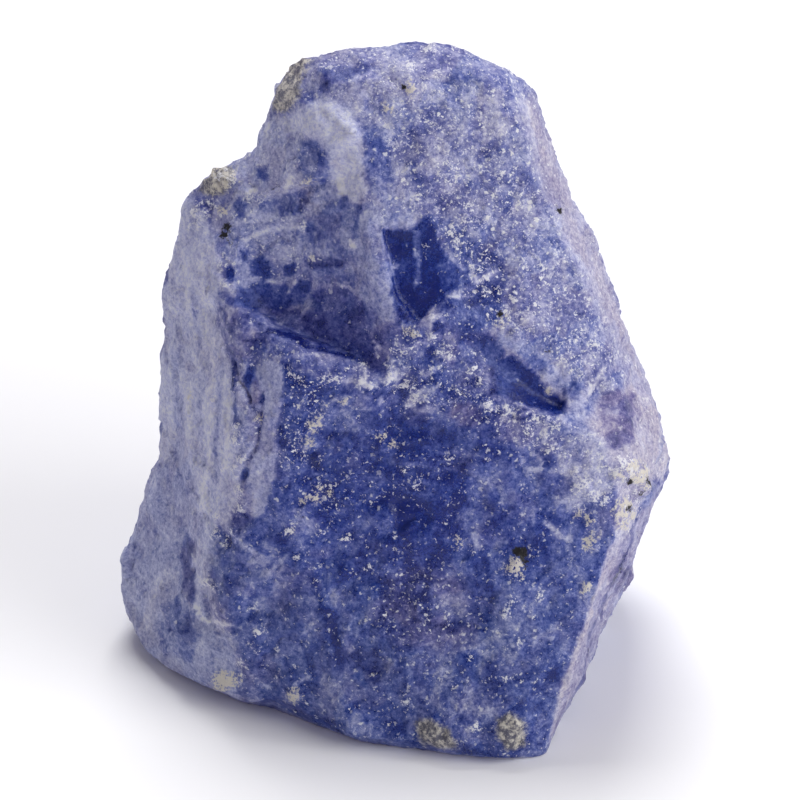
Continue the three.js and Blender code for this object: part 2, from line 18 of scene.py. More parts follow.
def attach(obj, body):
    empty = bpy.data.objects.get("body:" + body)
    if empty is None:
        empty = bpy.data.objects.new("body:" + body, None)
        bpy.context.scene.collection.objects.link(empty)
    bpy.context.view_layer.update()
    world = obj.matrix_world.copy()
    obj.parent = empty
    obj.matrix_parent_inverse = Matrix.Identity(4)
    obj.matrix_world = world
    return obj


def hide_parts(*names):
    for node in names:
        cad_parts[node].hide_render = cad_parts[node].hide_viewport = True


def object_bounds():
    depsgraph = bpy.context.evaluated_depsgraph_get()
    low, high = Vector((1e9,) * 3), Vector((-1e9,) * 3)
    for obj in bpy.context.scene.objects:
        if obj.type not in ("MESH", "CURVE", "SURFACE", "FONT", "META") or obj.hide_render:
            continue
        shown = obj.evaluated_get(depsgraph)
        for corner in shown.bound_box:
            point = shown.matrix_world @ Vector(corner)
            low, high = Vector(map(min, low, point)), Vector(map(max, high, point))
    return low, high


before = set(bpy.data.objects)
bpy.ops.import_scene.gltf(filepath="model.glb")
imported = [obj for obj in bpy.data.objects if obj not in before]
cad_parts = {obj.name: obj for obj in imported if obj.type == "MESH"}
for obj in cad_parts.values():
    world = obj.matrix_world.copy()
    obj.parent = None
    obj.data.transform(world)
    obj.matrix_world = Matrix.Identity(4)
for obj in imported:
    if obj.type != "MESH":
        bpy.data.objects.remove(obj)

cad_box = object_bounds()
MM = 0.001
low, high = (np.array(corner) / MM for corner in cad_box)
print("stone in mm, wide, deep and tall:", (high - low).round(2))

# %% [markdown]
# ## The camera
# The stone is taken to be seen from 35 degrees above level. It shows hardly any
# perspective, as through a long lens, so the camera stands far away and has a very long
# lens. It aims at the middle of the frame, which is a point inside the stone, measured
# from the lowest corner of the stone's box at the front left.

# %% Camera
SIGHT_TILT = np.radians(35)
FRAME_WIDTH = 20.0
AIM = np.array([6.97, 5.52, 7.31])
CAMERA_DISTANCE = 600.0
CLIP_START, CLIP_END = 10.0, 10_000.0
SENSOR_WIDTH = 36.0

toward_eye = np.array([0, -np.cos(SIGHT_TILT), np.sin(SIGHT_TILT)])
upward = np.array([0, np.sin(SIGHT_TILT), np.cos(SIGHT_TILT)])
frame_middle = low + AIM

camera_data = bpy.data.cameras.new("camera")
camera_data.sensor_width = SENSOR_WIDTH
camera_data.lens = SENSOR_WIDTH * CAMERA_DISTANCE / FRAME_WIDTH
camera_data.clip_start = CLIP_START * MM
camera_data.clip_end = CLIP_END * MM
camera = bpy.data.objects.new("camera", camera_data)
camera.location = Vector((frame_middle + toward_eye * CAMERA_DISTANCE) * MM)
camera.rotation_euler = (np.pi / 2 - SIGHT_TILT, 0, 0)
bpy.context.scene.collection.objects.link(camera)
bpy.context.scene.camera = camera
print("lens in mm:", camera_data.lens)

# %% [markdown]
# ## The skin of the stone
# A broken crystal is flat where it split along its cleavage, with crisp edges between,
# and every face is a little rough. The solid's own facets are far too coarse for that.
# A subdivision surface would round every edge off. A voxel remesh keeps the shape and
# gives even little squares, which numpy can then smooth face by face. The remesh tool
# can't go finer than a tenth of a millimetre, so it works on a copy a thousand times as
# large, where one unit is one millimetre.

# %% Remesh a copy of the solid
VOXEL = 0.095
WELD = 1e-6

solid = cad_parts["crystal"]
copied = bmesh.new()
copied.from_mesh(solid.data)
bmesh.ops.remove_doubles(copied, verts=copied.verts, dist=WELD)
merged = bpy.data.meshes.new("merged")
copied.to_mesh(merged)
copied.free()
merged.transform(Matrix.Scale(1 / MM, 4))

helper = bpy.data.objects.new("helper", merged)
bpy.context.scene.collection.objects.link(helper)
remesh = helper.modifiers.new("voxels", "REMESH")
remesh.mode = "VOXEL"
remesh.voxel_size = VOXEL
depsgraph = bpy.context.evaluated_depsgraph_get()
squares = bpy.data.meshes.new_from_object(helper.evaluated_get(depsgraph))

points = np.empty(len(squares.vertices) * 3)
squares.vertices.foreach_get("co", points)
points = points.reshape(-1, 3)
faces = np.empty(len(squares.loops), dtype=np.int64)
squares.loops.foreach_get("vertex_index", faces)
faces = faces.reshape(-1, 4)
bpy.data.objects.remove(helper)
print("skin:", len(points), "points and", len(faces), "squares")

# %% [markdown]
# ## Flat faces and crisp edges
# Plain smoothing pulls every point toward its neighbours, and rounds the edges off with
# the bumps. Here the face normals are smoothed first, and each normal listens only to
# neighbours that look much the same way. A face then turns as flat as cleavage, and an
# edge between two faces stays sharp, because its two sides ignore each other. Then the
# points are pulled until they lie in the planes of their smoothed faces.

# %% Smooth the faces and keep the edges
LIKENESS = 0.24
NORMAL_PASSES = 12
POINT_PASSES = 12
TINY = 1e-12


def unit(arrows):
    """Each arrow divided by its own length."""
    return arrows / np.maximum(np.linalg.norm(arrows, axis=1, keepdims=True), TINY)


def face_normals(points, faces):
    """The cross product of a square's two diagonals, made one long."""
    a, b, c, d = (points[faces[:, corner]] for corner in range(4))
    return unit(np.cross(c - a, d - b))


def gathered(owners, rows, count):
    """The sum of the rows that belong to each owner."""
    return np.stack([np.bincount(owners, column, count) for column in rows.T], 1)


def face_pairs(faces):
    """Each edge of a closed skin has two squares. The edges are sorted by the numbers of
    their ends, so the two squares of one edge come to lie side by side."""
    starts, ends = faces, np.roll(faces, -1, axis=1)
    keys = np.minimum(starts, ends) * (faces.max() + 1) + np.maximum(starts, ends)
    owners = np.repeat(np.arange(len(faces)), 4)
    return owners[np.argsort(keys.ravel(), kind="stable")].reshape(-1, 2)


def crisp(points, faces):
    """Normals average with their neighbours, weighed by exp(-difference squared over
    twice the likeness squared). Points then move along those normals, by the mean gap
    between the point and the planes of the squares round it."""
    first, second = face_pairs(faces).T
    normals = face_normals(points, faces)
    for _ in range(NORMAL_PASSES):
        gap = ((normals[first] - normals[second]) ** 2).sum(1, keepdims=True)
        weight = np.exp(-gap / (2 * LIKENESS**2))
        near = gathered(first, weight * normals[second], len(faces))
        near += gathered(second, weight * normals[first], len(faces))
        normals = unit(normals + near)
    corners = faces.ravel()
    shares = np.bincount(corners, minlength=len(points))[:, None]
    planes = np.repeat(normals, 4, axis=0)
    for _ in range(POINT_PASSES):
        centres = np.repeat(points[faces].mean(1), 4, axis=0)
        gap = ((centres - points[corners]) * planes).sum(1, keepdims=True)
        points = points + gathered(corners, gap * planes, len(points)) / shares
    return points


def point_normals(points, faces):
    """The mean of the normals of the squares round each point."""
    normals = np.repeat(face_normals(points, faces), 4, axis=0)
    return unit(gathered(faces.ravel(), normals, len(points)))


smooth = crisp(points, faces)
print("largest move in mm:", np.linalg.norm(smooth - points, axis=1).max().round(3))

# %% [markdown]
# ## Where things are
# The marks on the stone are easiest to place as the camera sees them. So each point gets
# two more coordinates: how far right and how far up it lies on the camera's picture, in
# millimetres from the middle. A zone is then a flat outline in that picture, and it lands
# on whatever part of the stone is behind it.

# %% Picture coordinates
offset = smooth - frame_middle
right = offset[:, 0]
up = offset @ upward
facing = point_normals(smooth, faces) @ toward_eye
print("picture spans, right and up:", np.ptp(right).round(2), np.ptp(up).round(2))

# %% [markdown]
# ## Noise that numpy can make
# Rough stone needs randomness that is smooth up close and different every time. A
# lattice of random numbers, blended between its corners, gives that, and a few layers of
# it at finer and finer sizes look like a broken surface. The random numbers come from
# mixing the bits of the lattice position, so they are the same on every run.

# %% Noise
HASH_STRIDES = np.array([73856093, 19349663, 83492791], dtype=np.uint32)
HASH_MIX = np.uint32(1274126177)
HASH_SEED = 7919
HASH_FOLD = np.uint32(15)
SPARE_BITS = np.uint32(8)
STEP_LEVEL, STEP_RAMP = 0.35, 0.3


def random_at(corners, seed):
    """A fixed random number from -1 to 1 for each whole-numbered place: its numbers are
    multiplied by large primes, their bits are mixed twice, and the 24 highest are kept."""
    whole = corners.astype(np.int64).astype(np.uint32)
    mixed = np.bitwise_xor.reduce(whole * HASH_STRIDES, axis=1)
    mixed = (mixed ^ np.uint32(seed * HASH_SEED)) * HASH_MIX
    mixed = (mixed ^ (mixed >> HASH_FOLD)) * HASH_MIX
    return (mixed >> SPARE_BITS) / 2**23 - 1


def lattice_noise(places, size, seed):
    """A random number sits at each corner of a lattice of cubes. A point blends the
    eight numbers round it, by 6t^5 - 15t^4 + 10t^3 along each side."""
    cell = np.floor(places / size)
    part = places / size - cell
    ease = part**3 * (part * (part * 6 - 15) + 10)
    total = np.zeros(len(places))
    for step in np.ndindex(2, 2, 2):
        blend_share = np.prod(np.where(step, ease, 1 - ease), axis=1)
        total += random_at(cell + step, seed) * blend_share
    return total


def layered_noise(places, size, seed, layers=4):
    """Noise plus noise of half the size and half the height, and so on."""
    heights = 0.5 ** np.arange(layers)
    stack = [lattice_noise(places, size * h, seed + n) * h for n, h in enumerate(heights)]
    return sum(stack) / heights.sum()


def chips(places, size, seed):
    """Space is split into cells round scattered points. Each cell has a random slant
    and a random tone. A point's height is how far it lies along the slant of its cell."""
    cell = np.floor(places / size)
    nearest = np.full(len(places), np.inf)
    height = np.zeros(len(places))
    tone = np.zeros(len(places))
    for step in np.ndindex(3, 3, 3):
        corner = cell + step - 1
        scatter = np.stack([random_at(corner, seed + axis) for axis in range(6)], 1)
        gap = places / size - corner - 0.5 - 0.5 * scatter[:, :3]
        distance = (gap**2).sum(1)
        closer = distance < nearest
        nearest[closer] = distance[closer]
        height[closer] = (gap * scatter[:, 3:]).sum(1)[closer]
        tone[closer] = scatter[closer, 3]
    return height, tone


def terraces(value, count):
    """The value in steps, that many to each whole number. Each step is level at both
    ends, and a short ramp between them climbs to the next."""
    whole = np.floor(value * count)
    ramp = np.clip((value * count - whole - STEP_LEVEL) / STEP_RAMP, 0, 1)
    return (whole + ramp) / count


sample = layered_noise(smooth, 1.0, 1)
print("noise from", sample.min().round(2), "to", sample.max().round(2))

# %% [markdown]
# ## Outlines, strokes and dots
# Every mark is placed by a distance. For an outline, it is how deep a point lies inside
# a closed shape, and for a stroke, how far it lies from a line. A little noise bends the
# picture first, so no border runs ruler straight.

# %% Marking tools
BEND, BEND_SIZE = 0.09, 0.5
IN_VIEW = (-0.05, 0.12)
warp = np.stack([layered_noise(smooth, BEND_SIZE, seed, 3) for seed in (11, 12)], 1)
picture = np.stack([right, up], 1) + BEND * warp


def smoothstep(edge, value):
    """0 below the first edge and 1 above the second, with an S curve between."""
    share = np.clip((value - edge[0]) / (edge[1] - edge[0]), 0, 1)
    return share * share * (3 - 2 * share)


def gap_to_side(start, end):
    """The distance from each point to the nearest place on one straight side."""
    side = np.subtract(end, start)
    along = np.clip((picture - start) @ side / max(side @ side, TINY), 0, 1)
    return np.linalg.norm(picture - start - along[:, None] * side, axis=1)


def from_line(line):
    """The distance to a line through several points: the least of its sides'."""
    return np.min([gap_to_side(*ends) for ends in zip(line, line[1:])], axis=0)


def inside(outline):
    """The depth inside a closed outline, and minus the distance outside it. A point is
    inside if a level ray from it crosses the outline an odd number of times."""
    odd = np.zeros(len(picture), dtype=bool)
    for (x0, y0), (x1, y1) in zip(outline, outline[1:] + outline[:1]):
        crosses = (y0 > picture[:, 1]) != (y1 > picture[:, 1])
        level = (picture[:, 1] - y0) / ((y1 - y0) or TINY) * (x1 - x0) + x0
        odd ^= crosses & (picture[:, 0] < level)
    depth = from_line(outline + outline[:1])
    return np.where(odd, depth, -depth)


front = smoothstep(IN_VIEW, facing)
print("share of the skin that the camera sees:", front.mean().round(2))

# %% [markdown]
# ## The zones of the stone
# Up close the colour of the stone has few causes. **Haze** is how milky the skin is:
# clean cleavage looks into the clear blue body, and bruised faces look pale lavender. The
# same mark also holds painted light and shade in a few zones and strokes, which say so.
# **Flecks** are the white pinpoints, dense in some faces and absent in others. **Plum**
# is a grey violet cast, seen where the crystal is viewed along another axis. Each zone
# below is one face, band or patch of the stone, with its outline on the picture in
# millimetres and how much of each it has. They are laid on in order, as coats of paint
# are, each with its own softness of border. The large faces come first.

# %% Zones of the large faces
ZONES = {
    "long face": (
        [(-0.85, 6.88), (-1.75, 7.7), (-1.38, 8.5), (0, 8.9), (1.5, 8.9), (2.5, 8.6),
         (3.4, 7.75), (3.9, 6.2), (4.6, 4.62), (5.45, 2.75), (6.0, 1.0), (5.2, 0.0),
         (4.15, 0.55), (3.25, 1.35), (2.5, 1.85), (1.75, 1.95), (1.55, 2.95),
         (1.25, 3.8), (0.75, 4.5), (-0.45, 4.4), (-0.75, 5.0)],
        dict(haze_and_shading=0.6, flecks=0.95, plum=0.25, border=0.15)),
    # The pale of this rim is painted glow: light that shines through the thin edge.
    "rim with painted glow": (
        [(3.25, 7.62), (3.9, 6.2), (4.6, 4.62), (5.45, 2.75), (6.0, 1.0), (6.4, -0.12),
         (6.0, 0.0), (5.3, 1.25), (4.75, 2.75), (4.0, 4.38), (3.38, 6.0), (2.95, 7.25)],
        dict(haze_and_shading=0.86, flecks=0.4, plum=0.8, border=0.3)),
    "top": (
        [(-2.9, 7.9), (-2.0, 8.6), (0, 9.0), (2.4, 8.9), (2.9, 7.8), (1.0, 7.4), (-1.0, 7.5),
         (-2.0, 7.5)],
        dict(haze_and_shading=0.63, flecks=0.7, plum=0.25, border=0.25)),
    "dark streak at the top": (
        [(-2.05, 7.95), (-1.75, 8.25), (-1.25, 8.35), (-0.7, 8.3), (-0.8, 8.1),
         (-1.38, 7.95), (-1.88, 7.75)],
        dict(haze_and_shading=0.3, flecks=0.3, plum=0.3, border=0.08)),
    "left slab": (
        [(-5.5, 5.2), (-4.88, 4.62), (-4.45, 3.45), (-4.62, 2.0), (-4.2, 1.0), (-4.0, -1.0),
         (-3.95, -2.0), (-4.2, -3.12), (-4.85, -3.58), (-5.0, -2.5), (-5.2, -1.5),
         (-6.1, -1.55), (-6.3, -0.25), (-6.3, 1.5), (-6.0, 3.0)],
        dict(haze_and_shading=0.99, flecks=0.08, plum=0.05, border=0.12)),
    "ledge": (
        [(-4.2, 1.38), (-3.45, 1.6), (-2.6, 1.45), (-2.05, 1.05), (-1.0, 0.82), (-0.5, 0.5),
         (-1.25, 0.55), (-2.0, 0.6), (-2.5, 0.82), (-2.88, 0.9), (-3.62, 0.95), (-4.1, 1.0)],
        dict(haze_and_shading=0.39, flecks=0.6, plum=0.3, border=0.08)),
    "front face": (
        [(-2.85, 0.9), (-2.0, 0.6), (-1.38, 0.47), (-0.25, 0.45), (1.25, -0.25), (4.0, -0.5),
         (5.3, -1.95), (5.45, -3.5), (5.2, -4.12), (4.75, -5.5), (4.2, -6.7), (4.05, -7.5),
         (3.62, -9.2), (2.5, -9.2), (1.0, -9.1), (-0.5, -8.9), (-2.5, -7.95), (-3.45, -7.6),
         (-4.12, -6.0), (-4.45, -5.0), (-4.62, -3.5), (-3.45, -2.8), (-3.1, -1.38),
         (-2.98, -0.25)],
        dict(haze_and_shading=0.3, flecks=0.32, plum=0.1, border=0.06)),
    "belly of the front": (
        [(-2.5, -0.75), (-1.2, -0.5), (0, -0.3), (1.25, -0.75), (1.75, -1.75), (1.3, -3),
         (1, -4.25), (0, -5), (-1.25, -4.75), (-1.75, -3.5), (-2.5, -2.5)],
        dict(haze_and_shading=0.08, flecks=0.4, plum=0.1, border=0.5)),
    "band": (
        [(-3.55, 0.9), (-3.25, 0.97), (-2.88, 0.88), (-2.8, 0.4), (-2.85, -0.05), (-3, -0.28),
         (-3.02, -1), (-3.08, -1.7), (-3.25, -2.4), (-3.45, -2.9), (-3.65, -2.8), (-3.75, -2.25),
         (-3.75, -1.6), (-3.52, -1.15), (-3.45, -0.5), (-3.55, -0.1), (-3.7, 0.35)],
        dict(haze_and_shading=0.82, flecks=0.06, plum=0.05, border=0.05)),
    "navy in the middle": (
        [(-1.2, -2.65), (-0.7, -2.5), (-0.25, -2.25), (0.2, -2.35), (0.82, -2.45), (1, -2.8),
         (0.7, -3.25), (0, -3.5), (-0.7, -3.5), (-1.1, -3.15)],
        dict(haze_and_shading=-0.27, flecks=0.25, plum=0, border=0.15)),
    "navy on the left": (
        [(-1.8, -2.05), (-1.38, -2.0), (-1.25, -2.5), (-1.62, -2.75), (-2.12, -2.95),
         (-1.95, -2.5)],
        dict(haze_and_shading=-0.28, flecks=1, plum=0, border=0.12)),
    "grey green patch": (
        [(-1.95, -0.2), (-1.65, 0), (-1.25, 0.05), (-0.9, -0.1), (-0.65, -0.45), (-0.7, -1),
         (-0.9, -1.45), (-1.3, -1.7), (-1.75, -1.7), (-2.05, -1.3), (-2.1, -0.75)],
        dict(haze_and_shading=0.32, flecks=0.35, plum=0.2, border=0.1)),
    "slate facet": (
        [(-4.67, -3.25), (-4.0, -3.2), (-3.12, -3.62), (-2.75, -4.38), (-3.05, -5.0),
         (-3.75, -5.3), (-4.45, -5.0), (-4.75, -4.25)],
        dict(haze_and_shading=0.48, flecks=0.25, plum=0, border=0.1)),
    "lighter right side": (
        [(3.0, -4.0), (5.0, -4.25), (4.75, -5.5), (4.2, -6.7), (4.0, -7.5), (2.75, -7.25),
         (2.0, -6.0)],
        dict(haze_and_shading=0.4, flecks=0.35, plum=0.0, border=0.4)),
    "dark upright band": (
        [(-1.95, -4.0), (-1.55, -4.0), (-1.38, -5.5), (-1.45, -7.0), (-1.8, -7.0),
         (-2.0, -5.5)],
        dict(haze_and_shading=0.12, flecks=0.3, plum=0.0, border=0.15)),
    "pale strip": (
        [(-5.47, 0.38), (-5.33, -0.78), (-5.05, -1.68), (-4.85, -2.5), (-4.6, -3.12),
         (-4.8, -4.0), (-5.0, -4.6), (-4.7, -5.5), (-4.9, -5.55), (-5.2, -4.75),
         (-5.1, -3.5), (-5.25, -2.0), (-5.55, -0.75)],
        dict(haze_and_shading=0.8, flecks=0.05, plum=0.1, border=0.08)),
    "lobe": (
        [(-5.9, -1.55), (-5.45, -0.75), (-5.3, -2.0), (-5.1, -3.5), (-5.1, -4.75),
         (-4.7, -5.62), (-4.2, -6.25), (-4.0, -7.6), (-5.0, -7.6), (-6.5, -6.6),
         (-7.2, -5.3), (-7.2, -4.12), (-6.8, -2.5)],
        dict(haze_and_shading=0.79, flecks=0.05, plum=0.03, border=0.1)),
    "glow in the lobe": (
        [(-5.88, -5.62), (-5.38, -5.12), (-4.75, -5.62), (-4.7, -6.38), (-5.25, -6.7),
         (-5.75, -6.38)],
        dict(haze_and_shading=0.88, flecks=0.05, plum=0, border=0.35)),
    # This narrow face is pale with painted glow: light that shines through the thin edge.
    "right strip with painted glow": (
        [(6.5, -2.12), (5.42, -3.5), (5.0, -4.5), (4.55, -5.88), (4.08, -7.0), (3.7, -9.0),
         (4.3, -8.6), (5.0, -6.9), (6.2, -4.8), (6.6, -3.25)],
        dict(haze_and_shading=0.76, flecks=0.1, plum=0.75, border=0.05)),
    "cheek": (
        [(4.62, -0.5), (5.12, 0.12), (5.75, 0.38), (6.5, -0.12), (6.9, -1.0), (6.7, -2.0),
         (6.0, -2.0), (5.45, -2.0), (5.0, -1.38)],
        dict(haze_and_shading=0.92, flecks=0.45, plum=0.85, border=0.15)),
    "bruise on the cheek": (
        [(3.92, -1.0), (4.5, -0.8), (5.0, -1.0), (5.3, -1.62), (5.2, -2.38), (4.45, -2.42),
         (4.0, -1.7)],
        dict(haze_and_shading=0.82, flecks=1, plum=0.3, border=0.15)),
    "grey zone": (
        [(3.27, -1.75), (4.0, -1.65), (4.6, -2.25), (4.55, -2.8), (3.88, -2.8), (3.38, -2.38)],
        dict(haze_and_shading=0.89, flecks=0.75, plum=0.1, border=0.15)),
    "crushed middle": (
        [(-0.3, 1.88), (0.5, 1.75), (1.38, 1.38), (1.75, 0.62), (2.25, 0.05), (3.25, -0.25),
         (4.0, -0.38), (4.0, -0.7), (2.5, -0.62), (1.25, -0.3), (0.25, -0.12), (-0.3, 0.38)],
        dict(haze_and_shading=0.26, flecks=1.0, plum=0.15, border=0.12)),
}
print("zones of the large faces:", len(ZONES))

# %% [markdown]
# ## Flank, rib and hollow
# On the upper left a milky rib runs down from the crown. Beside it lies a hollow that
# broke in small scoops and shelves, and each of those shows its own share of the blue
# body. Under the hollow a smooth face slopes down to the ledge. That face turns away from
# the light, and it and the crease above the ledge are darkened with painted shade.

# %% Zones of the flank, the rib and the hollow
ZONES |= {
    "flank": (
        [(-4.2, 6.1), (-3.45, 6.9), (-2.92, 7.05), (-1.75, 7), (-1.55, 6.25), (-1.75, 5.2),
         (-2.25, 5), (-3.45, 5.1), (-4.1, 5)],
        dict(haze_and_shading=0.83, flecks=0.45, plum=0.2, border=0.15)),
    "blue of the flank": (
        [(-2.45, 6.45), (-2.05, 6.5), (-1.8, 6.2), (-1.75, 5.6), (-1.95, 5.2), (-2.3, 5.25),
         (-2.5, 5.8)],
        dict(haze_and_shading=0.42, flecks=0.3, plum=0.05, border=0.12)),
    "rib": (
        [(-3.1, 7), (-2.45, 7.2), (-2.02, 7.5), (-1.48, 7.4), (-1.15, 7.1), (-0.95, 6.5),
         (-0.93, 5.7), (-0.88, 5.15), (-1, 4.85), (-1.25, 4.9), (-1.5, 5.1), (-1.7, 5.6),
         (-1.75, 6.2), (-2.2, 6.6), (-2.75, 6.65)],
        dict(haze_and_shading=1.1, flecks=0.12, plum=0, border=0.12)),
    "blue beside the crest": (
        [(-0.9, 6.65), (-0.6, 6.8), (-0.3, 6.35), (-0.17, 6), (-0.2, 5), (-0.45, 4.9),
         (-0.75, 5.15), (-0.85, 5.9)],
        dict(haze_and_shading=0.41, flecks=0.3, plum=0, border=0.1)),
    "cluttered hollow": (
        [(-4.2, 5), (-3.45, 5.1), (-2.25, 5), (-2.27, 4.12), (-2.05, 3.7), (-2.4, 2.9),
         (-3.45, 2.9), (-4.05, 2.7), (-4.45, 3.45), (-4.35, 4.35)],
        dict(haze_and_shading=0.74, flecks=0.6, plum=0.05, border=0.1)),
    "blue shelf": (
        [(-3.4, 4.97), (-2.9, 5.12), (-2.38, 5.22), (-2.23, 5), (-2.27, 4.7), (-2.6, 4.62),
         (-3, 4.53), (-3.35, 4.58), (-3.55, 4.78)],
        dict(haze_and_shading=0.35, flecks=0.2, plum=0, border=0.06)),
    "blue spot, outer": (
        [(-4.2, 4.9), (-4, 4.97), (-3.83, 4.83), (-3.9, 4.53), (-4.15, 4.55)],
        dict(haze_and_shading=0.34, flecks=0.15, plum=0.05, border=0.05)),
    "violet spot": (
        [(-3.52, 5.75), (-3.35, 5.8), (-3.25, 5.55), (-3.38, 5.38), (-3.55, 5.5)],
        dict(haze_and_shading=0.33, flecks=0.1, plum=0.1, border=0.08)),
    "mauve pane": (
        [(-2.25, 4.97), (-1.75, 5.17), (-1.25, 5.03), (-0.97, 4.85), (-1, 4.35), (-1.15, 3.98),
         (-1.1, 3.6), (-1.02, 3.2), (-1.25, 3.4), (-1.6, 3.58), (-2.05, 3.73), (-2.3, 4.1),
         (-2.3, 4.62)],
        dict(haze_and_shading=0.6, flecks=0.1, plum=0.15, border=0.04)),
    "pale shelf": (
        [(-2.35, 3.23), (-1.75, 3.3), (-1.2, 3.3), (-1.02, 2.9), (-1.2, 2.65), (-1.7, 2.8),
         (-2.15, 2.95)],
        dict(haze_and_shading=0.56, flecks=0.25, plum=0.1, border=0.07)),
    "crescents": (
        [(-2.4, 3.5), (-2.1, 3.6), (-1.65, 3.55), (-1.25, 3.45), (-1.5, 3.27), (-2.1, 3.27)],
        dict(haze_and_shading=0.28, flecks=0.2, plum=0.5, border=0.04)),
    "chink, left": (
        [(-3.73, 3.45), (-3.45, 3.58), (-3.25, 3.4), (-3.27, 3.05), (-3.45, 2.95), (-3.7, 3.12)],
        dict(haze_and_shading=-0.05, flecks=0.1, plum=0.0, border=0.04)),
    "chink, small": (
        [(-2.92, 3.3), (-2.67, 3.38), (-2.62, 3.15), (-2.85, 3.08)],
        dict(haze_and_shading=0.0, flecks=0.1, plum=0.0, border=0.04)),
    "chink, outer": (
        [(-4.4, 3.3), (-4.22, 3.38), (-4.15, 3.02), (-4.33, 2.95)],
        dict(haze_and_shading=0.14, flecks=0.1, plum=0.0, border=0.04)),
    "slate chink": (
        [(-3.95, 3.77), (-3.77, 3.7), (-3.7, 3.45), (-3.85, 3.4), (-3.95, 3.58)],
        dict(haze_and_shading=0.12, flecks=0.1, plum=0.2, border=0.04)),
    "greenish corner": (
        [(-4.15, 2.55), (-3.9, 2.75), (-3.75, 2.5), (-3.8, 2.15), (-4.1, 2.1)],
        dict(haze_and_shading=0.28, flecks=0.1, plum=0.3, border=0.1)),
    "scoop": (
        [(-3.75, 2.83), (-3.45, 2.95), (-3, 2.88), (-2.75, 2.75), (-2.5, 2.95), (-2.12, 2.88),
         (-2.08, 2.6), (-2.3, 2.48), (-2.5, 2.38), (-2.75, 2.3), (-3.1, 2.23), (-3.6, 2.23),
         (-3.95, 2.33), (-4.05, 2.6)],
        dict(haze_and_shading=0.06, flecks=0.1, plum=0, border=0.06)),
    "beside the scoop": (
        [(-2.05, 2.75), (-1.6, 2.85), (-1.2, 2.65), (-1.05, 2.4), (-1.35, 2.1), (-2.05, 2.15),
         (-2.3, 2.35)],
        dict(haze_and_shading=0.33, flecks=0.15, plum=0.2, border=0.08)),
    # The dark mauve of the sloping face is partly painted shade, as the face turns away from the
    # light.
    "sloping face in painted shade": (
        [(-3.85, 2.15), (-3.45, 2.3), (-2.75, 2.2), (-2.05, 2.15), (-1.35, 2.2), (-0.95, 2.45),
         (-0.65, 2.05), (-0.4, 1.55), (-0.25, 1.1), (-0.35, 0.55), (-0.75, 0.8), (-1.2, 1.02),
         (-2, 1.18), (-2.4, 1.27), (-2.75, 1.43), (-3.12, 1.6), (-3.45, 1.65)],
        dict(haze_and_shading=0.16, flecks=0.12, plum=0.35, border=0.05)),
    "mauve of the slope": (
        [(-3.85, 2.15), (-3.45, 2.3), (-2.75, 2.17), (-2.5, 1.98), (-2.9, 1.85), (-3.3, 1.8),
         (-3.55, 1.8)],
        dict(haze_and_shading=0.44, flecks=0.12, plum=0.3, border=0.06)),
    # Painted shade: the dark crease just above the ledge's ridge.
    "painted shade over the ridge": (
        [(-3.35, 1.77), (-3, 1.82), (-2.6, 1.65), (-2.2, 1.4), (-2.2, 1.25), (-2.6, 1.38),
         (-3, 1.55), (-3.35, 1.6)],
        dict(haze_and_shading=-0.15, flecks=0.0, plum=0.4, border=0.05)),
    "foot of the rib": (
        [(-0.97, 4.88), (-0.6, 4.9), (-0.47, 4.3), (-0.33, 3.85), (-0.17, 3.45), (-0.05, 3.05),
         (0.05, 2.55), (0.28, 2.08), (0.28, 1.85), (-0.2, 1.9), (-0.7, 2.02), (-0.95, 2.45),
         (-1.05, 3.2), (-1.12, 3.7), (-1.02, 4.3)],
        dict(haze_and_shading=0.73, flecks=0.1, plum=0.1, border=0.04)),
    "dim end of the rib": (
        [(-0.85, 2.4), (-0.55, 2.1), (-0.05, 2.02), (0.05, 1.75), (-0.25, 1.55), (-0.65, 1.8)],
        dict(haze_and_shading=0.4, flecks=0.15, plum=0.4, border=0.08)),
}
print("zones so far:", len(ZONES))
